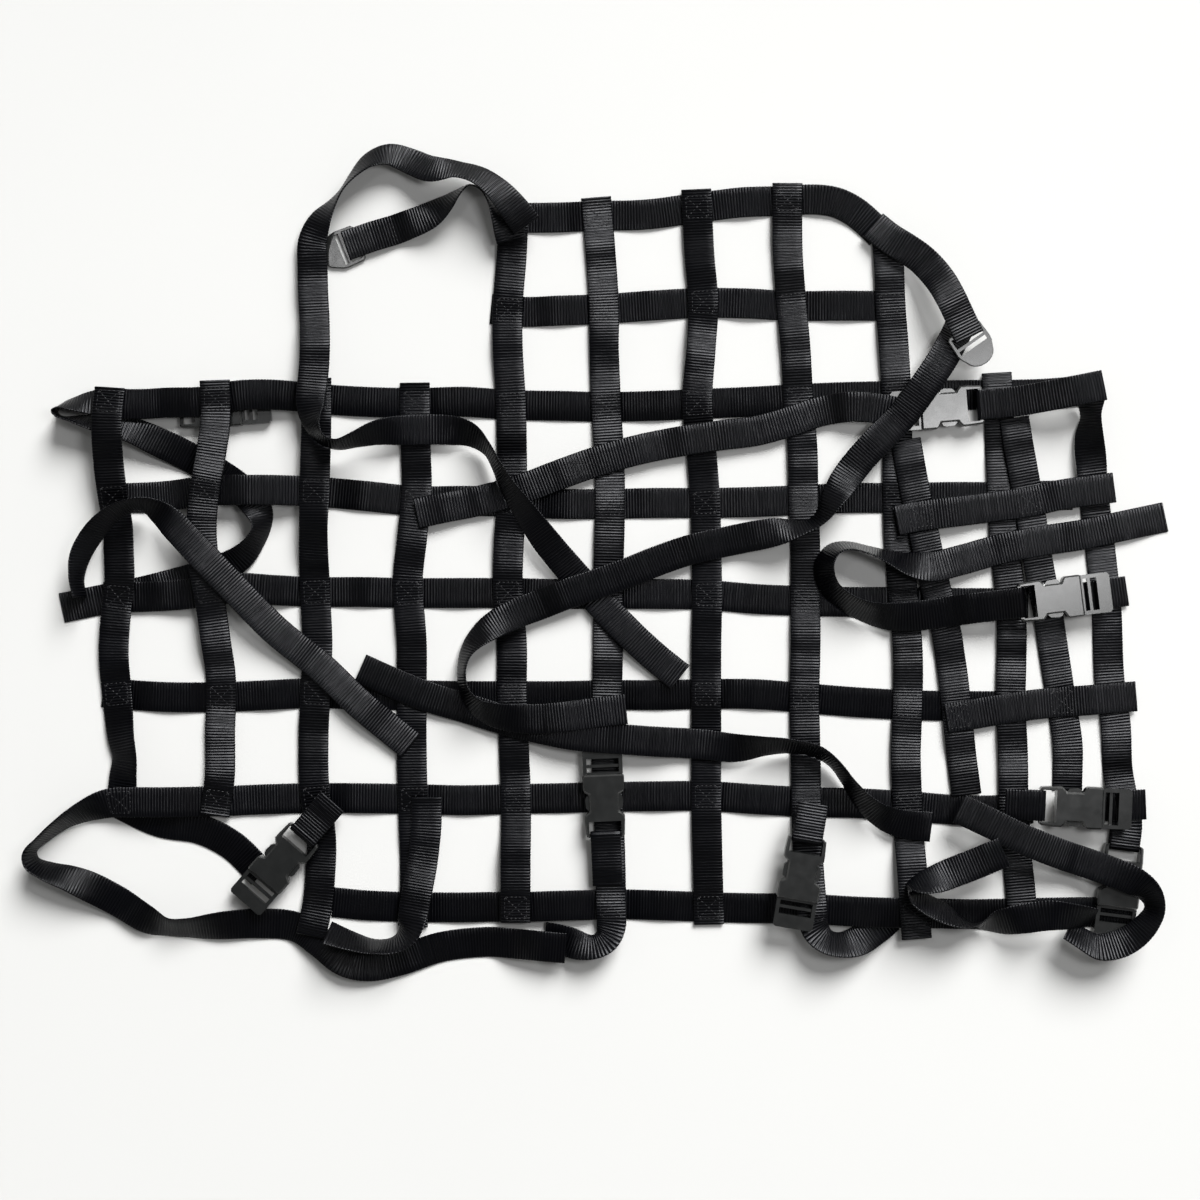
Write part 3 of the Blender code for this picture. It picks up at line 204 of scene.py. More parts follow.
LONG_TOP_LEFT = [
    (528, 230), (514, 212, 12, 1), (498, 194, 32, 1), (480, 181, 44, 1), (459, 175, 50, 1),
    (432, 173, 18, 2), (410, 163, 22, 2), (390, 157, 34, 1), (371, 163, 48, 1), (355, 178, 66, 1),
    (344, 192, 76), (334, 206, 64, 1), (322, 223, 32, 2), (314, 245, 6, 3), (314, 270, 0, 5),
    (315, 305, 0, 6), (317, 345, 0, 4), (316, 380, 0, 1), (314, 405, 12, 1), (316, 425, 50, 1),
    (325, 441, 72), (341, 447, 76), (358, 442, 66, 1), (382, 434, 40, 2), (415, 431, 8, 1),
    (448, 431, 10, 3), (472, 436, 44, 2), (488, 450, 72, 1), (498, 468, 70), (510, 490, 56),
    (526, 513, 40, 1), (546, 541, 20, 3), (572, 572, 10, 2), (600, 603, 0, 1), (630, 634, 0, 3),
    (655, 657, 0, 2), (680, 677)]
SHORT_TOP_LEFT = [
    (512, 243), (506, 223, 26), (496, 205, 62), (484, 192, 76), (470, 188, 80), (458, 196, 68),
    (446, 207, 44), (430, 218, 16, 1), (400, 229, 0, 2), (372, 238, 0, 2), (346, 247)]
SHORT_TOP_RIGHT = [
    (872, 226), (889, 241, 6, 2), (905, 252, 18, 5), (921, 264, 18, 5), (935, 282, 10, 4),
    (947, 304, 0, 3), (957, 325, 0, 1), (965, 341)]
LONG_TOP_RIGHT = [
    (957, 330, 0, 1), (940, 360, 0, 5), (920, 390, 0, 1), (899, 418, 0, 1), (877, 440, 0, 3),
    (857, 462, 0, 4), (842, 482, 12, 3), (830, 501, 48, 2), (821, 516, 66, 1), (810, 525, 70),
    (797, 529, 60, 1), (778, 532, 24, 2), (755, 536, 0, 2), (720, 543, 0, 1), (690, 550, 0, 3),
    (660, 560, 0, 3), (630, 572, 0, 1), (600, 583, 0, 1), (570, 593, 0, 2), (542, 604, 0, 3),
    (518, 613, 6, 2), (496, 624, 22, 3), (479, 637, 46, 3), (467, 653, 66, 2), (463, 671, 72, 1),
    (466, 690, 68, 1), (478, 706, 52, 1), (500, 715, 28, 1), (535, 718, 4, 1), (570, 715, 0, 1),
    (600, 711), (626, 708)]
LONG_LEFT = [
    (84, 597, 80), (81, 577, 76), (86, 555, 60), (98, 535, 56), (116, 517, 62), (134, 507, 72),
    (150, 506, 64), (164, 513, 34, 1), (180, 527, 8, 2), (205, 553, 0, 3), (240, 590, 0, 2),
    (280, 632, 0, 5), (320, 665, 0, 2), (362, 704, 0, 4), (411, 745, 0, 1)]
DOWN_COLUMN_4 = [
    (427, 797), (427, 825, 0, 2), (424, 855, 0, 2), (419, 885), (414, 913, 8), (410, 930, 44),
    (398, 941, 66), (377, 944, 74), (352, 937, 62), (330, 929, 50)]
RIGHT_LOOP = [
    (1165, 517, 0, 1), (1122, 526, 0, 2), (1080, 535, 0, 2), (1040, 541), (1000, 549, 0, 2),
    (960, 560, 0, 1), (928, 567, 8, 1), (905, 564, 40), (885, 557, 64), (865, 550, 74), (845, 546, 74),
    (831, 550, 66), (822, 566, 54, 1), (827, 587, 54, 1), (844, 602, 56, 1), (869, 613, 44, 1),
    (897, 617, 12, 1), (930, 614, 0, 1), (965, 609, 0, 1), (996, 605, 0, 1)]
BOTTOM_LOOP = [
    (955, 806), (985, 820), (1020, 837), (1060, 853, 0, 2), (1098, 866, 0, 1), (1126, 877, 12),
    (1142, 889, 46), (1147, 904, 70), (1140, 918, 58), (1126, 932, 44), (1110, 941, 38),
    (1093, 943, 38), (1077, 935, 50), (1063, 925, 44)]
BOTTOM_CROSS = [
    (998, 848), (965, 862, 8, 1), (938, 873, 24, 1), (916, 880, 56), (903, 884, 90), (907, 891, 114),
    (922, 900, 128), (942, 910, 126), (960, 918, 104), (977, 921, 70), (996, 919, 26),
    (1018, 914, 0, 1), (1042, 910, 0, 1), (1064, 911, 24), (1086, 912, 48)]

# ---- buckles: number, plan x, plan y of the middle of the body, heading of the ladder (degrees)
BUCKLES = {
    1: (941, 409, 184.5),
    2: (1055, 598, 7.0),
    3: (1074, 805, -2.5),
    4: (281, 862, 229.0),
    5: (604, 796, 92.5),
    6: (798, 873, 260.5),
    7: (1117, 883, 263.0),
    8: (220, 407, 4.0)}
# ---- ladder locks: number, plan x, plan y, heading of the thumb tab (degrees)
LADDER_LOCKS = {1: (337, 252, 202.5), 2: (972, 353, -55.0)}


def plan_point(x, y):
    """Metres from the net's centre for a point of the plan grid."""
    return (x - PLAN_CENTRE[0]) * PLAN_UNIT, (PLAN_CENTRE[1] - y) * PLAN_UNIT


def plan_station(x, y):
    """Plan grid point for a place in metres: the inverse of plan_point."""
    return x / PLAN_UNIT + PLAN_CENTRE[0], PLAN_CENTRE[1] - y / PLAN_UNIT


def unit(rows):
    return rows / np.linalg.norm(rows, axis=1)[:, None]


def square_to(rows, forward):
    """Unit rows with the part that runs along forward taken out."""
    return unit(rows - forward * np.sum(rows * forward, axis=1)[:, None])


def distances(points):
    """Distance of each point from the first, along the row of points."""
    return np.concatenate([[0.0], np.cumsum(np.linalg.norm(np.diff(points, axis=0), axis=1))])


def cubic(t, span, low, high, slope_low, slope_high):
    """Between two points with given slopes, at the share t of the span from low to high."""
    return ((2 * t**3 - 3 * t**2 + 1) * low + (t**3 - 2 * t**2 + t) * span * slope_low
            + (3 * t**2 - 2 * t**3) * high + (t**3 - t**2) * span * slope_high)


def blur(values, sigma):
    """Smooth a row of values with a bell curve and keep its two ends where they are."""
    reach = min(int(math.ceil(3 * sigma)), len(values) - 1)
    offsets = np.arange(-reach, reach + 1)
    weights = np.exp(-0.5 * (offsets / sigma) ** 2)
    padded = np.pad(values, reach, mode="reflect", reflect_type="odd")
    return np.convolve(padded, weights / weights.sum(), mode="valid")


def curve_through(points):
    """A centripetal curve through plan points, and the distance along it of each point."""
    legs = np.diff(points, axis=0)
    knots = np.concatenate([[0.0], np.cumsum(np.linalg.norm(legs, axis=1) ** 0.5)])
    chords = legs / np.diff(knots)[:, None]
    slopes = np.empty_like(points)
    slopes[0] = chords[0]
    slopes[-1] = chords[-1]
    for i in range(1, len(points) - 1):
        wide = (points[i + 1] - points[i - 1]) / (knots[i + 1] - knots[i - 1])
        slopes[i] = chords[i - 1] - wide + chords[i]
    dense = [points[0]]
    for i in range(len(points) - 1):
        span = knots[i + 1] - knots[i]
        for t in np.linspace(0, 1, CURVE_POINTS + 1)[1:]:
            dense.append(cubic(t, span, points[i], points[i + 1], slopes[i], slopes[i + 1]))
    dense = np.array(dense)
    along = distances(dense)
    return dense, along, along[::CURVE_POINTS]


class Path:
    """A strap's course in plan: evenly spaced points with their roll and lift."""

    def __init__(self, stations):
        x, y, rolls, lifts = np.array([(*station, 0, 0)[:4] for station in stations]).T
        dense, along, at_station = curve_through(np.column_stack(plan_point(x, y)))
        count = max(3, int(round(along[-1] / STEP)) + 1)
        self.step = along[-1] / (count - 1)
        self.along = np.linspace(0, along[-1], count)
        self.x = blur(np.interp(self.along, along, dense[:, 0]), PLAN_ROUNDING / self.step)
        self.y = blur(np.interp(self.along, along, dense[:, 1]), PLAN_ROUNDING / self.step)
        roll = np.interp(self.along, at_station, np.radians(rolls))
        self.roll = blur(roll, ROLL_ROUNDING / self.step)
        lift = np.interp(self.along, at_station, lifts / MILLIMETRES)
        self.lift = blur(np.maximum(lift - REST_LIFT, 0), LIFT_ROUNDING / self.step)
        east = np.gradient(self.x)
        north = np.gradient(self.y)
        length = np.hypot(east, north)
        self.east = east / length
        self.north = north / length


class HeightField:
    """The highest point laid so far, over a square grid."""

    def __init__(self):
        shape = [int(2 * half / CELL) for half in FIELD_HALF]
        self.tops = np.full(shape, -LAYER_GAP)
        self.around = self.tops.copy()

    def cells(self, x, y):
        column = np.clip(((x + FIELD_HALF[0]) / CELL).astype(int), 1, self.tops.shape[0] - 2)
        row = np.clip(((y + FIELD_HALF[1]) / CELL).astype(int), 1, self.tops.shape[1] - 2)
        return column, row

    def top(self, x, y):
        """The highest thing within a cell or so of each point."""
        return self.around[self.cells(x, y)]

    def highest(self, x, y):
        """The highest thing right under a set of points."""
        return self.tops[self.cells(x, y)].max()

    def lay(self, x, y, z):
        np.maximum.at(self.tops, self.cells(x.ravel(), y.ravel()), z.ravel())
        self.around = self.tops.copy()
        for axis in (0, 1):
            spread = self.around.copy()
            for shift in (-1, 1):
                spread = np.maximum(spread, np.roll(self.around, shift, axis))
            self.around = spread


def rest_on(field, path):
    """Lowest height of the strap's middle at each point that clears what lies below."""
    need = np.full(len(path.x), -np.inf)
    for share in np.linspace(-1, 1, REST_POINTS):
        out = share * HALF_WIDTH * np.cos(path.roll)
        rise = share * HALF_WIDTH * np.sin(path.roll)
        below = field.top(path.x - path.north * out, path.y + path.east * out)
        need = np.maximum(need, below + LAYER_GAP - rise)
    return need + HALF_THICKNESS * np.abs(np.cos(path.roll))


def drape(need, path):
    """A smooth strap that rests on the needed heights and bends no tighter than webbing does."""
    reach = int(round(FLAT_REACH / path.step))
    wide = need.copy()
    for shift in range(1, reach + 1):
        wide[shift:] = np.maximum(wide[shift:], need[:-shift])
        wide[:-shift] = np.maximum(wide[:-shift], need[shift:])
    distance = path.along[:, None] - path.along[None, :]
    sagging = wide[None, :] - distance**2 / (2 * BEND_RADIUS)
    return blur(np.maximum(need, sagging.max(axis=1)), SOFTENING / path.step)


def course(path, height, bar=None):
    """The middle of a strap in space, and the direction across it."""
    middle = np.column_stack([path.x, path.y, height])
    forward = unit(np.gradient(middle, axis=0))
    left = np.column_stack([-path.north, path.east, np.zeros(len(path.x))])
    roll = path.roll[:, None]
    across = square_to(left * np.cos(roll) + UP * np.sin(roll), forward)
    if bar is not None:
        # on round the buckle's bar and a little way back under the strap
        heading = np.array([path.east[-1], path.north[-1], 0.0])
        turns = np.radians(np.arange(WRAP_TURN, 180 + WRAP_TURN / 2, WRAP_TURN))
        added = [bar + (heading * math.sin(turn) + UP * math.cos(turn)) * WRAP_RADIUS
                 for turn in turns]
        added += [bar - UP * WRAP_RADIUS - heading * back
                  for back in (WRAP_RETURN / 2, WRAP_RETURN)]
        middle = np.vstack([middle, added])
        across = np.vstack([across, [across[-1]] * len(added)])
    return middle, across


# ---- webbing, fine shape
RIB_PITCH = 0.0024  # one cross rib of the weave
RIB_SHAPE = [(0.0, -1.0), (0.22, 0.35), (0.78, 0.35)]  # share of the pitch, share of the depth
RIB_DEPTH = 0.00017  # from the webbing's face down into the valley between two ribs
EDGE_WAVE = 0.00016  # the same at the selvedge
YARN_WIDTH = 0.0008  # one lengthwise yarn
RIBS_APART = 331  # the weave of each strap starts this many ribs after the last
PROFILE = [  # section of the webbing: across, out of its face (metres)
    (-0.01250, 0.00000), (-0.01228, 0.00042), (-0.01165, 0.00064), (-0.00620, 0.00070),
    (0.0, 0.00071), (0.00620, 0.00070), (0.01165, 0.00064), (0.01228, 0.00042),
    (0.01250, 0.0), (0.01228, -0.00042), (0.01165, -0.00064), (0.0, -0.00070),
    (-0.01165, -0.00064), (-0.01228, -0.00042)]
SELVEDGE = 0.0121  # points of the section further out than this are its selvedge
UNDERSIDE_SHIFT = 0.1  # sets the map of the underside apart from that of the top
# slight leans that show only in how a strap catches the light, degrees; positive as for a roll
LEANS = {
    "row_1": -7, "row_2": -4, "row_4": 4, "row_5": -3, "column_2": -12, "column_6": -11,
    "column_7": 8, "flap_row_2": -9, "flap_row_4": -8, "tail_1": 6, "right_loop": 10,
    "long_middle": -4, "long_left": -19, "long_top_left": -9, "long_top_right": -8,
    "short_top_right": -12, "bottom_loop": -6}


def smooth_rows(rows, along, wanted):
    """Rows at the wanted distances, on a cubic through the given ones."""
    slope = np.gradient(rows, along, axis=0)
    left = np.clip(np.searchsorted(along, wanted) - 1, 0, len(along) - 2)
    span = along[left + 1] - along[left]
    t = ((wanted - along[left]) / span)[:, None]
    return cubic(t, span[:, None], rows[left], rows[left + 1], slope[left], slope[left + 1])


class Fine:
    """A strap sampled three times for every rib of its weave."""

    def __init__(self, middle, across):
        along = distances(middle)
        ribs = int(round(along[-1] / RIB_PITCH))
        shares, levels = np.array(RIB_SHAPE).T
        places = (np.arange(ribs)[:, None] + shares[None, :]).ravel()
        self.along = np.append(places, ribs) * along[-1] / ribs
        self.level = np.append(np.tile(levels, ribs), levels[0])
        self.middle = smooth_rows(middle, along, self.along)
        forward = unit(np.gradient(self.middle, self.along, axis=0))
        self.across = square_to(smooth_rows(across, along, self.along), forward)
        self.face = np.cross(forward, self.across)
        self.length = along[-1]

    def at(self, distance):
        """Middle, across and face at one distance."""
        return [np.array([np.interp(distance, self.along, values[:, k]) for k in range(3)])
                for values in (self.middle, self.across, self.face)]

    def upper_side(self, distance):
        """1 where the strap's face looks up, and -1 where it looks down."""
        return math.copysign(1.0, self.at(distance)[2][2])


def link_object(name, data):
    """A new object in the scene, with this mesh, lamp or camera."""
    made = bpy.data.objects.new(name, data)
    bpy.context.collection.objects.link(made)
    return made


def add_map(mesh, name, first, second):
    """A map whose two rows are given in metres for each corner, and kept in millimetres."""
    layer = mesh.uv_layers.new(name=name)
    layer.data.foreach_set("uv", (np.column_stack([first, second]) * MILLIMETRES).ravel())


def strap_piece(name, fine, number):
    """The strap's mesh with its ribs, and the maps of its weave and of its lean."""
    sections = len(fine.along)
    points = len(PROFILE)
    profile = np.array(PROFILE)
    edge = np.abs(profile[:, 0]) > SELVEDGE
    level = fine.level[:, None]
    out_across = profile[:, 0] + level * EDGE_WAVE * (np.sign(profile[:, 0]) * edge)
    out_face = profile[:, 1] + level * RIB_DEPTH * (np.sign(profile[:, 1]) * ~edge)
    verts = (fine.middle[:, None, :] + out_across[..., None] * fine.across[:, None, :]
             + out_face[..., None] * fine.face[:, None, :]).reshape(-1, 3)
    ring = np.arange(points)
    after = (ring + 1) % points
    start = (np.arange(sections - 1) * points)[:, None]
    quads = np.stack([start + ring, start + points + ring, start + points + after, start + after],
                     axis=-1).reshape(-1, 4)
    caps = [ring.tolist(), (len(verts) - points + ring[::-1]).tolist()]
    mesh = bpy.data.meshes.new(name)
    mesh.from_pydata(verts.tolist(), [], quads.tolist() + caps)
    corner = np.empty(len(mesh.loops), dtype=np.int64)
    mesh.loops.foreach_get("vertex_index", corner)
    section, point = np.divmod(corner, points)
    across = np.where(profile[:, 1] >= 0, profile[:, 0], profile[:, 0] + UNDERSIDE_SHIFT)
    shares = np.array(RIB_SHAPE)[:, 0]
    rib, place = np.divmod(np.arange(sections), len(shares))
    ribs = rib + shares[place] + number * RIBS_APART
    add_map(mesh, "weave", across[point], RIB_PITCH * ribs[section])
    rise = profile[point, 0] * math.tan(math.radians(LEANS.get(name, 0)))
    add_map(mesh, "leaning", rise, rise * 0)
    mesh.polygons.foreach_set("use_smooth", [True] * len(quads) + [False, False])
    mesh.update()
    return link_object(f"{name}_webbing", mesh)


# ---- laying the net, in the same order as its solids
LAY_STEP = 0.001  # spacing of the points that a strap leaves on the height grid
LAY_ACROSS = 27  # such points across a strap
FOOTPRINT = (60, 50)  # points along and across the outline of a hard piece
COVER_STRIDE = 7  # every so many of them tells what lies below a strap


class Laying:
    """Follows the solids: every strap rests on what was laid before it."""

    def __init__(self):
        self.field = HeightField()
        self.covers = []
        self.laid = {}  # the finished course of each strap
        self.below = {}  # names of what each strap lies over

    def lay_band(self, path, height):
        fine = np.linspace(0, len(path.x) - 1, int(path.along[-1] / LAY_STEP) + 2)
        index = np.arange(len(path.x))
        x, y, roll, east, north, z = [np.interp(fine, index, row) for row in (
            path.x, path.y, path.roll, path.east, path.north, height)]
        share = np.linspace(-1, 1, LAY_ACROSS)[None, :] * HALF_WIDTH
        out = share * np.cos(roll)[:, None]
        top = z[:, None] + share * np.sin(roll)[:, None]
        top += (HALF_THICKNESS * np.abs(np.cos(roll)))[:, None]
        self.field.lay(x[:, None] - north[:, None] * out, y[:, None] + east[:, None] * out, top)

    def lay_draped(self, stations):
        """Lay a stretch of webbing on what is there now, and give its course."""
        path = Path(stations)
        self.lay_band(path, drape(rest_on(self.field, path), path) + path.lift)
        return path

    def tuck(self, stations):
        """Lay the end of a later strap now, so that what comes between rests on it."""
        ground = deepcopy(self.field)
        return ground, self.lay_draped(stations).along[-1]

    def strap(self, name, stations, bar=None, under=0, tucked=None):
        """Lay one strap.

        bar: place of the buckle's bar that the end of the strap goes round
        under: how many stations lie below the rest of this same strap
        tucked: what tuck gave for the end of this strap
        """
        if bar is not None:
            stations = stations + [plan_station(bar[0], bar[1])]
        path = Path(stations)
        need = rest_on(self.field, path)
        if under:
            first = self.lay_draped(stations[:under])
            turned_back = path.along > first.along[-1] + WEBBING_WIDTH
            need = np.where(turned_back, rest_on(self.field, path), need)
        left_to_go = path.along[-1] - path.along
        if tucked is not None:
            ground, length = tucked
            need = np.where(left_to_go < length + TUCK_MARGIN, rest_on(ground, path), need)
        if bar is not None:
            target = bar[2] + WRAP_RADIUS
            need = np.where(left_to_go < WRAP_RETURN, np.maximum(need, target), need)
        height = drape(need, path) + path.lift
        if bar is not None:
            ramp = np.clip(1 - left_to_go / WEBBING_WIDTH, 0, 1)
            height = height + (target - height[-1]) * ramp**2 * (3 - 2 * ramp)
        self.laid[name] = Fine(*course(path, height, bar))
        self.below[name] = self.carriers(path)
        self.lay_band(path, height)
        self.covers.append((name, path.x, path.y))

    def carriers(self, path):
        """Names of what the strap crosses over."""
        names = []
        for name, x, y in self.covers:
            far = np.hypot(path.x[:, None] - x[None, :], path.y[:, None] - y[None, :])
            if far.min() < HALF_WIDTH:
                names.append(name)
        return names

    def footprint(self, low, high, half, place, heading):
        """Points of a rectangle from low to high along the heading."""
        x, y = np.meshgrid(np.linspace(low, high, FOOTPRINT[0]),
                           np.linspace(-half, half, FOOTPRINT[1]))
        return (place[0] + math.cos(heading) * x - math.sin(heading) * y,
                place[1] + math.sin(heading) * x + math.cos(heading) * y)

    def set_down(self, outline, top):
        self.field.lay(*outline, np.full(outline[0].shape, top))

    def cover(self, name, outline):
        x, y = outline
        self.covers.append((name, x.ravel()[::COVER_STRIDE], y.ravel()[::COVER_STRIDE]))

    def buckle(self, number):
        """Set a buckle on what is there now, and give the place of its bar."""
        x, y, degrees = BUCKLES[number]
        place, heading = seat = plan_point(x, y), math.radians(degrees)
        whole = self.footprint(BAR_X - BAR_HALF, BODY_HALF_LENGTH, BODY_HALF_WIDTH, *seat)
        body = self.footprint(-BODY_HALF_LENGTH, BODY_HALF_LENGTH, BODY_HALF_WIDTH, *seat)
        ladder = self.footprint(BODY_HALF_LENGTH, LADDER_END, LADDER_HALF_WIDTH, *seat)
        wrap = self.footprint(BAR_X - WRAP_RETURN, BAR_X, HALF_WIDTH, *seat)
        below_wrap = WRAP_RADIUS + HALF_THICKNESS + LAYER_GAP
        height = max(BODY_HALF_HEIGHT,
                     self.field.highest(*whole) + BUCKLE_GAP + BODY_HALF_HEIGHT,
                     self.field.highest(*ladder) + BUCKLE_GAP + LADDER_HALF_HEIGHT,
                     self.field.highest(*wrap) + below_wrap)
        self.set_down(body, height + BODY_HALF_HEIGHT)
        self.set_down(ladder, height + LADDER_HALF_HEIGHT)
        self.cover(f"buckle_{number}_socket", body)
        return (place[0] + BAR_X * math.cos(heading), place[1] + BAR_X * math.sin(heading), height)

    def ladder_lock(self, number):
        x, y, degrees = LADDER_LOCKS[number]
        whole = self.footprint(LOCK_BACK, LOCK_FRONT + LOCK_TAB_RADIUS, LOCK_HALF_WIDTH,
                               plan_point(x, y), math.radians(degrees))
        height = max(0.0, self.field.highest(*whole) + BUCKLE_GAP) + LOCK_HALF_HEIGHT
        self.set_down(whole, height + LOCK_HALF_HEIGHT)
        self.cover(f"ladder_lock_{number}", whole)


def lay_everything():
    net = Laying()
    net.buckle(8)
    net.strap("row_1", ROW_1, under=ROW_1_UNDER)
    for number, table in ((2, ROW_2), (3, ROW_3), (4, ROW_4)):
        net.strap(f"row_{number}", table)
    net.strap("strap_under_row_5", UNDER_ROW_5)
    net.strap("column_1", COLUMNS[1])
    end_of_column_6 = net.tuck(COLUMNS[6][-TUCKED_STATIONS["column_6"]:])
    net.strap("row_5", ROW_5)
    end_of_column_8 = net.tuck(COLUMNS[8][-TUCKED_STATIONS["column_8"]:])
    net.strap("row_6", ROW_6)
    bar_7 = net.buckle(7)
    net.strap("row_0", ROW_0)
    net.strap("row_0b", ROW_0B)
    ends = {6: end_of_column_6, 8: end_of_column_8}
    for number in (2, 3, 4, 5, 6, 7, 9, 8, 10):
        net.strap(f"column_{number}", COLUMNS[number], tucked=ends.get(number))
    net.strap("column_11", COLUMNS[11], bar=bar_7)
    for number, table in FLAP_COLUMNS.items():
        net.strap(f"flap_column_{number}", table)
    for number, table in FLAP_ROWS.items():
        net.strap(f"flap_row_{number}", table)
    bars = {number: net.buckle(number) for number in (1, 2, 3, 4, 5, 6)}
    net.strap("band_1", BAND_1, bar=bars[1])
    for number, table in BUCKLE_STRAPS.items():
        net.strap(f"buckle_strap_{number}", table, bar=bars[number])
    net.strap("tail_1", TAIL_1)
    net.strap("long_middle", LONG_MIDDLE)
    net.ladder_lock(1)
    net.strap("short_top_left", SHORT_TOP_LEFT)
    net.strap("long_top_left", LONG_TOP_LEFT)
    net.strap("long_top_right", LONG_TOP_RIGHT)
    net.ladder_lock(2)
    net.strap("short_top_right", SHORT_TOP_RIGHT)
    net.strap("long_left", LONG_LEFT)
    net.strap("down_column_4", DOWN_COLUMN_4)
    net.strap("right_loop", RIGHT_LOOP, bar=bars[2])
    net.strap("bottom_loop", BOTTOM_LOOP)
    net.strap("bottom_cross", BOTTOM_CROSS)
    return net


# ---- stitching
STITCH_LENGTH = 0.0026
STITCH_PITCH = 0.0033
STITCH_HALF_WIDTH = 0.00030
STITCH_HEIGHT = 0.00028
STITCH_ROOT = 0.0002  # how far its foot lies below SURFACE
STITCH_SHOULDERS = (0.22, 0.78)  # its full width starts and ends at these shares of its length
STITCH_TOP = 0.6  # width of its top as a share of its foot
SURFACE = 0.00066  # from the middle of the webbing to just under its face
BOX_HALF = 0.0090  # half side of a stitched box
END_MARGIN = 0.0015  # left free of stitches at the ends of a strap
SEAM_HALF = 0.0108  # half length of a seam across the webbing
SEAM_LINES = (-0.0012, 0.0012)
SEAMS = {"short_top_left": (393, 228), "short_top_right": (938, 303)}  # plan grid
CROSSING_STRIDE = 4  # every so many sections are enough to find a crossing
NEARLY_PARALLEL = 1e-14


class Thread:
    """Collects stitches and makes one piece of them."""

    def __init__(self):
        self.verts = []
        self.faces = []

    def stitch(self, start, end, out):
        """One stitch: a low rounded spindle from start to end, standing out of the face."""
        run = end - start
        side = np.cross(out, run)
        side = side / np.linalg.norm(side) * STITCH_HALF_WIDTH
        root = out * STITCH_ROOT
        top = out * STITCH_HEIGHT
        first = len(self.verts)
        self.verts.append(start - root)
        for share in STITCH_SHOULDERS:
            place = start + run * share
            self.verts += [place - side - root, place - side * STITCH_TOP + top,
                           place + side * STITCH_TOP + top, place + side - root]
        self.verts.append(end - root)
        near, far, tip = first + 1, first + 5, first + 9
        for k in range(4):
            after = (k + 1) % 4
            self.faces.append((first, near + after, near + k))
            self.faces.append((near + k, near + after, far + after, far + k))
            self.faces.append((tip, far + k, far + after))

    def line(self, fine, ends, side):
        """Stitches along a straight line given as (across, along) of both ends, on one face."""
        (a0, s0), (a1, s1) = ends
        length = math.hypot(a1 - a0, s1 - s0)
        count = max(1, int(length / STITCH_PITCH))
        half = STITCH_LENGTH / 2 / length
        for k in range(count):
            middle = (k + 0.5) / count
            points = []
            for share in (middle - half, middle + half):
                place, across, face = fine.at(s0 + (s1 - s0) * share)
                points.append(place + across * (a0 + (a1 - a0) * share) + face * side * SURFACE)
            self.stitch(points[0], points[1], face * side)

    def crossed_box(self, fine, distance):
        side = fine.upper_side(distance)
        low = max(distance - BOX_HALF, END_MARGIN)
        high = min(distance + BOX_HALF, fine.length - END_MARGIN)
        a, b, c, d = (-BOX_HALF, low), (BOX_HALF, low), (BOX_HALF, high), (-BOX_HALF, high)
        for ends in ((a, b), (b, c), (c, d), (d, a), (a, c), (b, d)):
            self.line(fine, ends, side)

    def seam(self, fine, distance):
        side = fine.upper_side(distance)
        for shift in SEAM_LINES:
            ends = [(-SEAM_HALF, distance + shift), (SEAM_HALF, distance + shift)]
            self.line(fine, ends, side)

    def piece(self, name):
        mesh = bpy.data.meshes.new(name)
        mesh.from_pydata([tuple(v) for v in self.verts], [], self.faces)
        mesh.polygons.foreach_set("use_smooth", [True] * len(mesh.polygons))
        return link_object(name, mesh)


def crossing(one, other):
    """Distances along both straps where their middles cross in plan, or None."""
    p = one.middle[::CROSSING_STRIDE, :2]
    q = other.middle[::CROSSING_STRIDE, :2]
    r = np.diff(p, axis=0)
    s = np.diff(q, axis=0)
    start = q[None, :-1] - p[:-1, None]
    det = r[:, None, 0] * s[None, :, 1] - r[:, None, 1] * s[None, :, 0]
    det = np.where(np.abs(det) < NEARLY_PARALLEL, NEARLY_PARALLEL, det)
    t = (start[..., 0] * s[None, :, 1] - start[..., 1] * s[None, :, 0]) / det
    u = (start[..., 0] * r[:, None, 1] - start[..., 1] * r[:, None, 0]) / det
    hits = np.argwhere((t >= 0) & (t < 1) & (u >= 0) & (u < 1))
    if len(hits) == 0:
        return None
    i, j = hits[-1]
    found = []
    for fine, k, share in ((one, i, t[i, j]), (other, j, u[i, j])):
        coarse = fine.along[::CROSSING_STRIDE]
        found.append(coarse[k] + share * (coarse[k + 1] - coarse[k]))
    return found


def sew(laid, finish):
    """Boxes where rows and columns cross, on the upper of the two, and two seams."""
    thread = Thread()
    rows = ["row_0", "row_0b"] + [f"row_{k}" for k in range(1, 7)]
    columns = [f"column_{k}" for k in range(1, 12)]
    order = list(laid)
    # column_11 is turned up on its edge where it meets row_1
    pairs = [(r, c) for r in rows for c in columns if (r, c) != ("row_1", "column_11")]
    pairs += [(f"flap_row_{r}", f"flap_column_{c}") for r in (2, 3, 4, 5) for c in (1, 2)]
    for row, column in pairs:
        found = crossing(laid[row], laid[column])
        if found is None:
            continue
        if order.index(row) > order.index(column):
            thread.crossed_box(laid[row], found[0])
        else:
            thread.crossed_box(laid[column], found[1])
    for name, place in SEAMS.items():
        fine = laid[name]
        x, y = plan_point(*place)
        nearest = np.hypot(fine.middle[:, 0] - x, fine.middle[:, 1] - y).argmin()
        thread.seam(fine, fine.along[nearest])
    sewn = thread.piece("stitching")
    sewn.data.materials.append(finish)
    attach(sewn, "root")


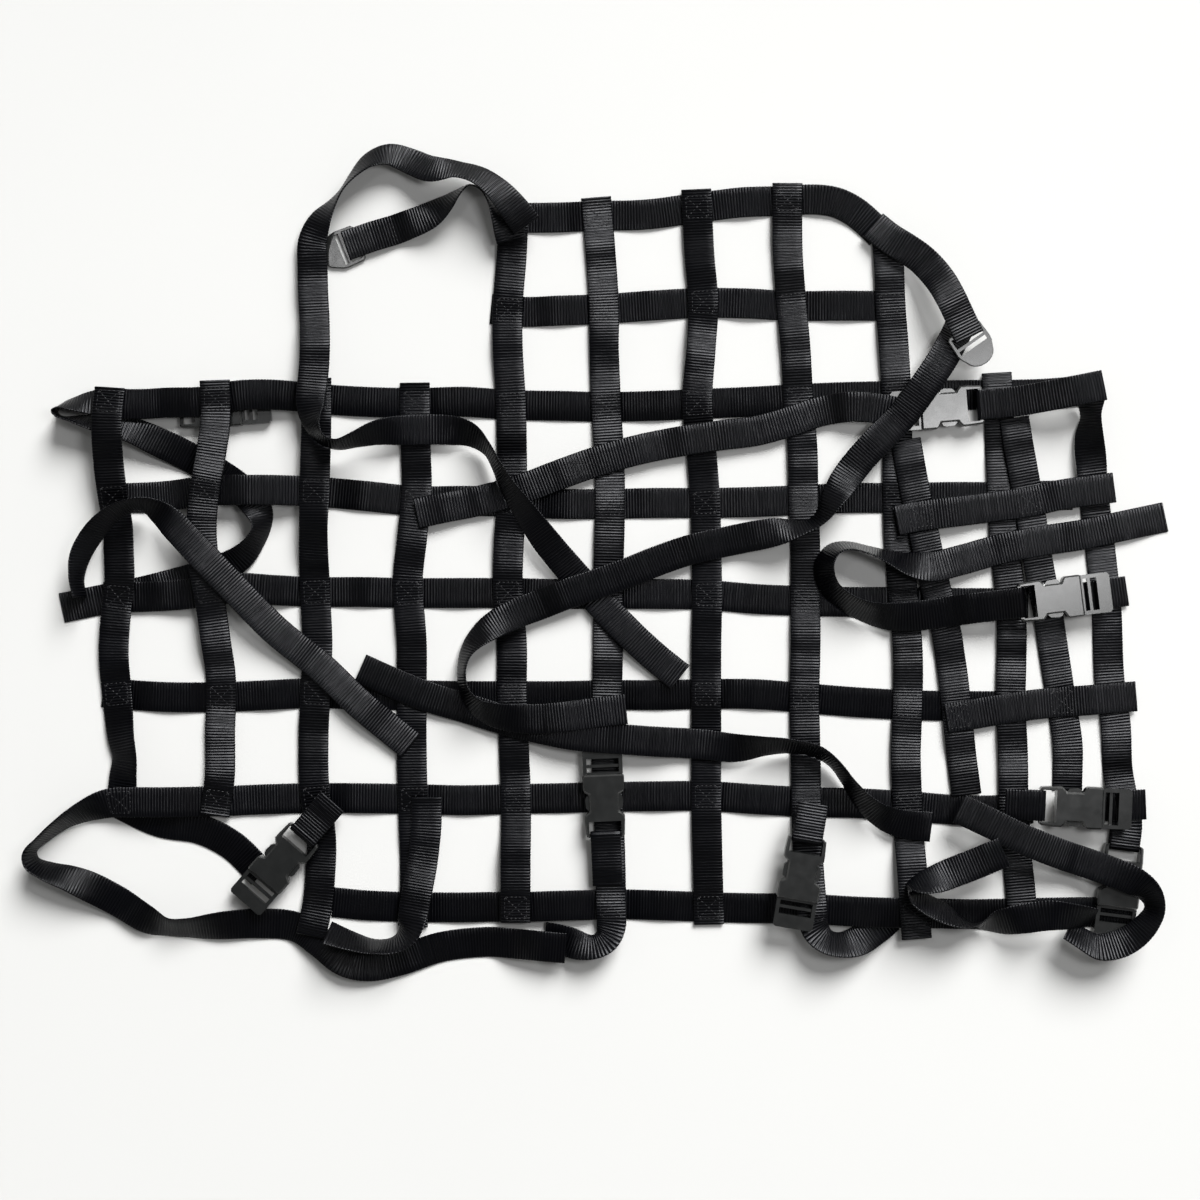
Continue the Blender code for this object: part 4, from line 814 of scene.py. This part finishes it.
# ---- materials; the maps are in millimetres
HALF_RIB = RIB_PITCH * MILLIMETRES / 2
HALF_YARN = YARN_WIDTH * MILLIMETRES / 2
YARN_WEIGHT = 0.35  # what the yarns add to the weave's height, beside 1 for the ribs
FIBRE_WEIGHT = 0.40  # the same for single fibres
BEAT_WEIGHT = 1.5  # the same for unevenness from rib to rib
BEAT_STRETCH = 0.06  # how fast that changes across the webbing, beside 1 along it
WEAVE_DEPTH = 0.00018  # bump distance of all these
SLACK_DEPTH = 0.026  # slow rise and fall that shows in how the webbing catches light
LEAN_DEPTH = 0.001  # turns the map of leans back into metres
GRAIN_DEPTH = 0.0001  # bump distance of the plastic's grain
NODE_SPACING = -180  # nodes stand in a row in the editor, to the left of the shader


def node(tree, kind, inputs=None, **settings):
    """A node with its settings; an input gets a number or the output of another node."""
    made = tree.nodes.new(kind)
    made.location = (NODE_SPACING * len(tree.nodes), 0)
    for key, value in settings.items():
        setattr(made, key, value)
    for socket, value in (inputs or {}).items():
        if isinstance(value, bpy.types.NodeSocket):
            tree.links.new(value, made.inputs[socket])
        else:
            made.inputs[socket].default_value = value
    return made


def maths(tree, operation, *values):
    return node(tree, "ShaderNodeMath", dict(enumerate(values)), operation=operation).outputs[0]


def noise(tree, vector, scale, detail=2.0):
    return node(tree, "ShaderNodeTexNoise",
                {"Vector": vector, "Scale": scale, "Detail": detail}).outputs["Fac"]


def ramp(tree, value, low, high):
    """A colour that goes from low to high, each given as its position and colour."""
    made = node(tree, "ShaderNodeValToRGB", {"Fac": value})
    for element, (position, colour) in zip(made.color_ramp.elements, (low, high)):
        element.position = position
        element.color = (*colour, 1)
    return made.outputs["Color"]


def between(tree, value, low, high):
    """From low to high as the value goes from 0 to 1."""
    return node(tree, "ShaderNodeMapRange",
                {"Value": value, "To Min": low, "To Max": high}).outputs["Result"]


def bump(tree, height, distance, **more):
    """A normal that follows the height; more may hold its Strength and the Normal below it."""
    inputs = {"Height": height, "Distance": distance, "Strength": 1.0, **more}
    return node(tree, "ShaderNodeBump", inputs).outputs["Normal"]


def read_map(tree, name):
    """A map as a whole, and its two rows."""
    whole = node(tree, "ShaderNodeUVMap", uv_map=name).outputs["UV"]
    split = node(tree, "ShaderNodeSeparateXYZ", {0: whole})
    return whole, split.outputs["X"], split.outputs["Y"]


def new_material(name):
    """A material, its node tree, its shader and the place on the object."""
    made = bpy.data.materials.new(name)
    made.use_nodes = True
    tree = made.node_tree
    where = node(tree, "ShaderNodeTexCoord").outputs["Object"]
    return made, tree, tree.nodes["Principled BSDF"], where


def webbing_material():
    """Black webbing: ribs across it, with duller valleys, and fine yarns along it."""
    made, tree, shader, where = new_material("webbing weave")
    link = tree.links.new
    shader.inputs["Specular IOR Level"].default_value = 0.14
    shader.inputs["Specular Tint"].default_value = (0.94, 0.95, 1.0, 1)
    weave, across, along = read_map(tree, "weave")
    # from 0 in the valley between two ribs to 1 on a rib's crest
    rib = maths(tree, "PINGPONG", along, HALF_RIB)
    crest = node(tree, "ShaderNodeMapRange", {"Value": rib, "From Max": HALF_RIB},
                 interpolation_type="SMOOTHSTEP").outputs["Result"]
    # yarns lie side by side across the webbing
    yarn = maths(tree, "PINGPONG", across, HALF_YARN)
    fibre = noise(tree, weave, scale=1.9, detail=5.0)
    height = maths(tree, "MULTIPLY_ADD", yarn, YARN_WEIGHT, crest)
    height = maths(tree, "MULTIPLY_ADD", fibre, FIBRE_WEIGHT, height)
    # no two ribs are beaten up equally tight
    stretch = node(tree, "ShaderNodeCombineXYZ",
                   {"X": maths(tree, "MULTIPLY", across, BEAT_STRETCH), "Y": along})
    beat = noise(tree, stretch.outputs["Vector"], scale=0.50)
    height = maths(tree, "MULTIPLY_ADD", beat, BEAT_WEIGHT, height)
    # a strap may lean, and slack webbing is never quite flat
    lean = bump(tree, read_map(tree, "leaning")[1], LEAN_DEPTH)
    lengthwise = node(tree, "ShaderNodeCombineXYZ", {"Y": along})
    slack = noise(tree, lengthwise.outputs["Vector"], scale=0.017, detail=1.0)
    sway = bump(tree, slack, SLACK_DEPTH, Normal=lean)
    link(bump(tree, height, WEAVE_DEPTH, Normal=sway), shader.inputs["Normal"])
    link(between(tree, crest, 0.34, 0.23), shader.inputs["Roughness"])
    # slow change of depth of colour, as dye and handling leave it
    patches = noise(tree, where, scale=14.0, detail=3.0)
    shade = ramp(tree, patches, (0.30, (0.0005, 0.0005, 0.0008)), (0.75, (0.0012, 0.0013, 0.0020)))
    link(shade, shader.inputs["Base Color"])
    return made


def thread_material():
    made, tree, shader, where = new_material("sewing thread")
    shader.inputs["Roughness"].default_value = 0.38
    shader.inputs["Specular IOR Level"].default_value = 0.35
    twist = noise(tree, where, scale=900.0)
    shade = ramp(tree, twist, (0.0, (0.005, 0.005, 0.006)), (1.0, (0.018, 0.018, 0.021)))
    tree.links.new(shade, shader.inputs["Base Color"])
    return made


def plastic_material():
    made, tree, shader, where = new_material("moulded plastic")
    link = tree.links.new
    shader.inputs["Specular IOR Level"].default_value = 0.95
    cloud = noise(tree, where, scale=120.0, detail=3.0)
    shade = ramp(tree, cloud, (0.0, (0.004, 0.0045, 0.0045)), (1.0, (0.008, 0.0085, 0.0085)))
    link(shade, shader.inputs["Base Color"])
    link(between(tree, cloud, 0.20, 0.30), shader.inputs["Roughness"])
    grain = noise(tree, where, scale=2600.0)
    link(bump(tree, grain, GRAIN_DEPTH, Strength=0.02), shader.inputs["Normal"])
    return made


def floor_material():
    made, tree, shader, where = new_material("pale floor")
    shader.inputs["Roughness"].default_value = 0.9
    shader.inputs["Specular IOR Level"].default_value = 0.2
    grain = noise(tree, where, scale=3.0)
    shade = ramp(tree, grain, (0.0, (0.545, 0.545, 0.54)), (1.0, (0.56, 0.56, 0.555)))
    tree.links.new(shade, shader.inputs["Base Color"])
    return made


# ---- making
SOFT_EDGE = 0.0003  # rounding of the plastic pieces' edges
SHARP_ANGLE = 35  # only edges that turn by more than this are rounded, degrees


def dress_straps(net, webbing):
    """Woven webbing in place of every strap's solid."""
    for number, (name, fine) in enumerate(net.laid.items()):
        piece = strap_piece(name, fine, number)
        piece.data.materials.append(webbing)
        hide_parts(name)
        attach(piece, "root")
        rests = net.below[name] or ["floor"]
        rests = [f"{r}_webbing" if r in net.laid else r for r in rests]


def dress_plastic(plastic):
    """A finish and soft edges for the buckles and the ladder locks."""
    for name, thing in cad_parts.items():
        if name.startswith("buckle_strap") or not name.startswith(("buckle", "ladder_lock")):
            continue
        for place in thing.material_slots:
            place.material = plastic
        soft = thing.modifiers.new("soft edges", "BEVEL")
        soft.width = SOFT_EDGE
        soft.segments = 2
        soft.limit_method = "ANGLE"
        soft.angle_limit = math.radians(SHARP_ANGLE)


# ---- studio, in metres, watts and degrees
FLOOR_HALF = 4.0
WALL = (0.05, (0.68, 0.68, 0.66))  # how steeply a direction points up, and its colour
CEILING = (0.74, (0.09, 0.09, 0.09))
SUN_STRENGTH = 7.0
SUN_SPREAD = 32
SUN_COLOUR = (1.0, 1.0, 0.99)
SUN_ELEVATION = 36
SUN_AZIMUTH = 25  # from +Y towards +X
LAMPS = {  # place, what it points at, size, power
    "lamp": ((0.66, 0.15, 1.62), (0.34, 0.05, 0.0), (0.34, 0.52), 8.0),
    "small lamp": ((-0.45, 0.55, 1.62), (-0.22, 0.26, 0.0), (0.16, 0.16), 1.2)}
CAMERA_OVER = (600, 600)  # plan grid
CAMERA_HEIGHT = 1.6
LENS = 57.6  # millimetres, as the sensor
SENSOR_WIDTH = 36.0


def set_up_floor():
    half = FLOOR_HALF
    ground = bpy.data.meshes.new("floor")
    ground.from_pydata([(-half, -half, 0), (half, -half, 0), (half, half, 0), (-half, half, 0)],
                       [], [(0, 1, 2, 3)])
    floor = link_object("floor", ground)
    ground.materials.append(floor_material())


def set_up_room():
    """A dark ceiling and pale walls: the webbing's flat stretches reflect the ceiling."""
    world = bpy.data.worlds.new("studio")
    world.use_nodes = True
    tree = world.node_tree
    direction = node(tree, "ShaderNodeTexCoord").outputs["Generated"]
    height = node(tree, "ShaderNodeSeparateXYZ", {0: direction}).outputs["Z"]
    background = tree.nodes["Background"]
    tree.links.new(ramp(tree, height, WALL, CEILING), background.inputs["Color"])
    background.inputs["Strength"].default_value = 1.0
    bpy.context.scene.world = world


def set_up_sun():
    sun = bpy.data.lights.new("key", "SUN")
    sun.energy = SUN_STRENGTH
    sun.angle = math.radians(SUN_SPREAD)
    sun.color = SUN_COLOUR
    elevation = math.radians(SUN_ELEVATION)
    azimuth = math.radians(SUN_AZIMUTH)
    toward = Vector((math.sin(azimuth) * math.cos(elevation),
                     math.cos(azimuth) * math.cos(elevation), math.sin(elevation)))
    key = link_object("key", sun)
    key.rotation_euler = toward.to_track_quat("Z", "Y").to_euler()


def set_up_lamps():
    for name, (place, aim, size, power) in LAMPS.items():
        data = bpy.data.lights.new(name, "AREA")
        data.shape = "RECTANGLE"
        data.size, data.size_y = size
        data.energy = power
        lamp = link_object(name, data)
        lamp.location = place
        lamp.rotation_euler = (Vector(aim) - Vector(place)).to_track_quat("-Z", "Y").to_euler()


def set_up_camera():
    """Straight down over the middle of the picture."""
    data = bpy.data.cameras.new("photo view")
    data.sensor_width = SENSOR_WIDTH
    data.lens = LENS
    camera = link_object("photo view", data)
    camera.location = (*plan_point(*CAMERA_OVER), CAMERA_HEIGHT)
    bpy.context.scene.camera = camera
    bpy.context.scene.view_settings.view_transform = "Standard"


laid_net = lay_everything()
dress_straps(laid_net, webbing_material())
sew(laid_net.laid, thread_material())
dress_plastic(plastic_material())
set_up_floor()
set_up_room()
set_up_sun()
set_up_lamps()
set_up_camera()
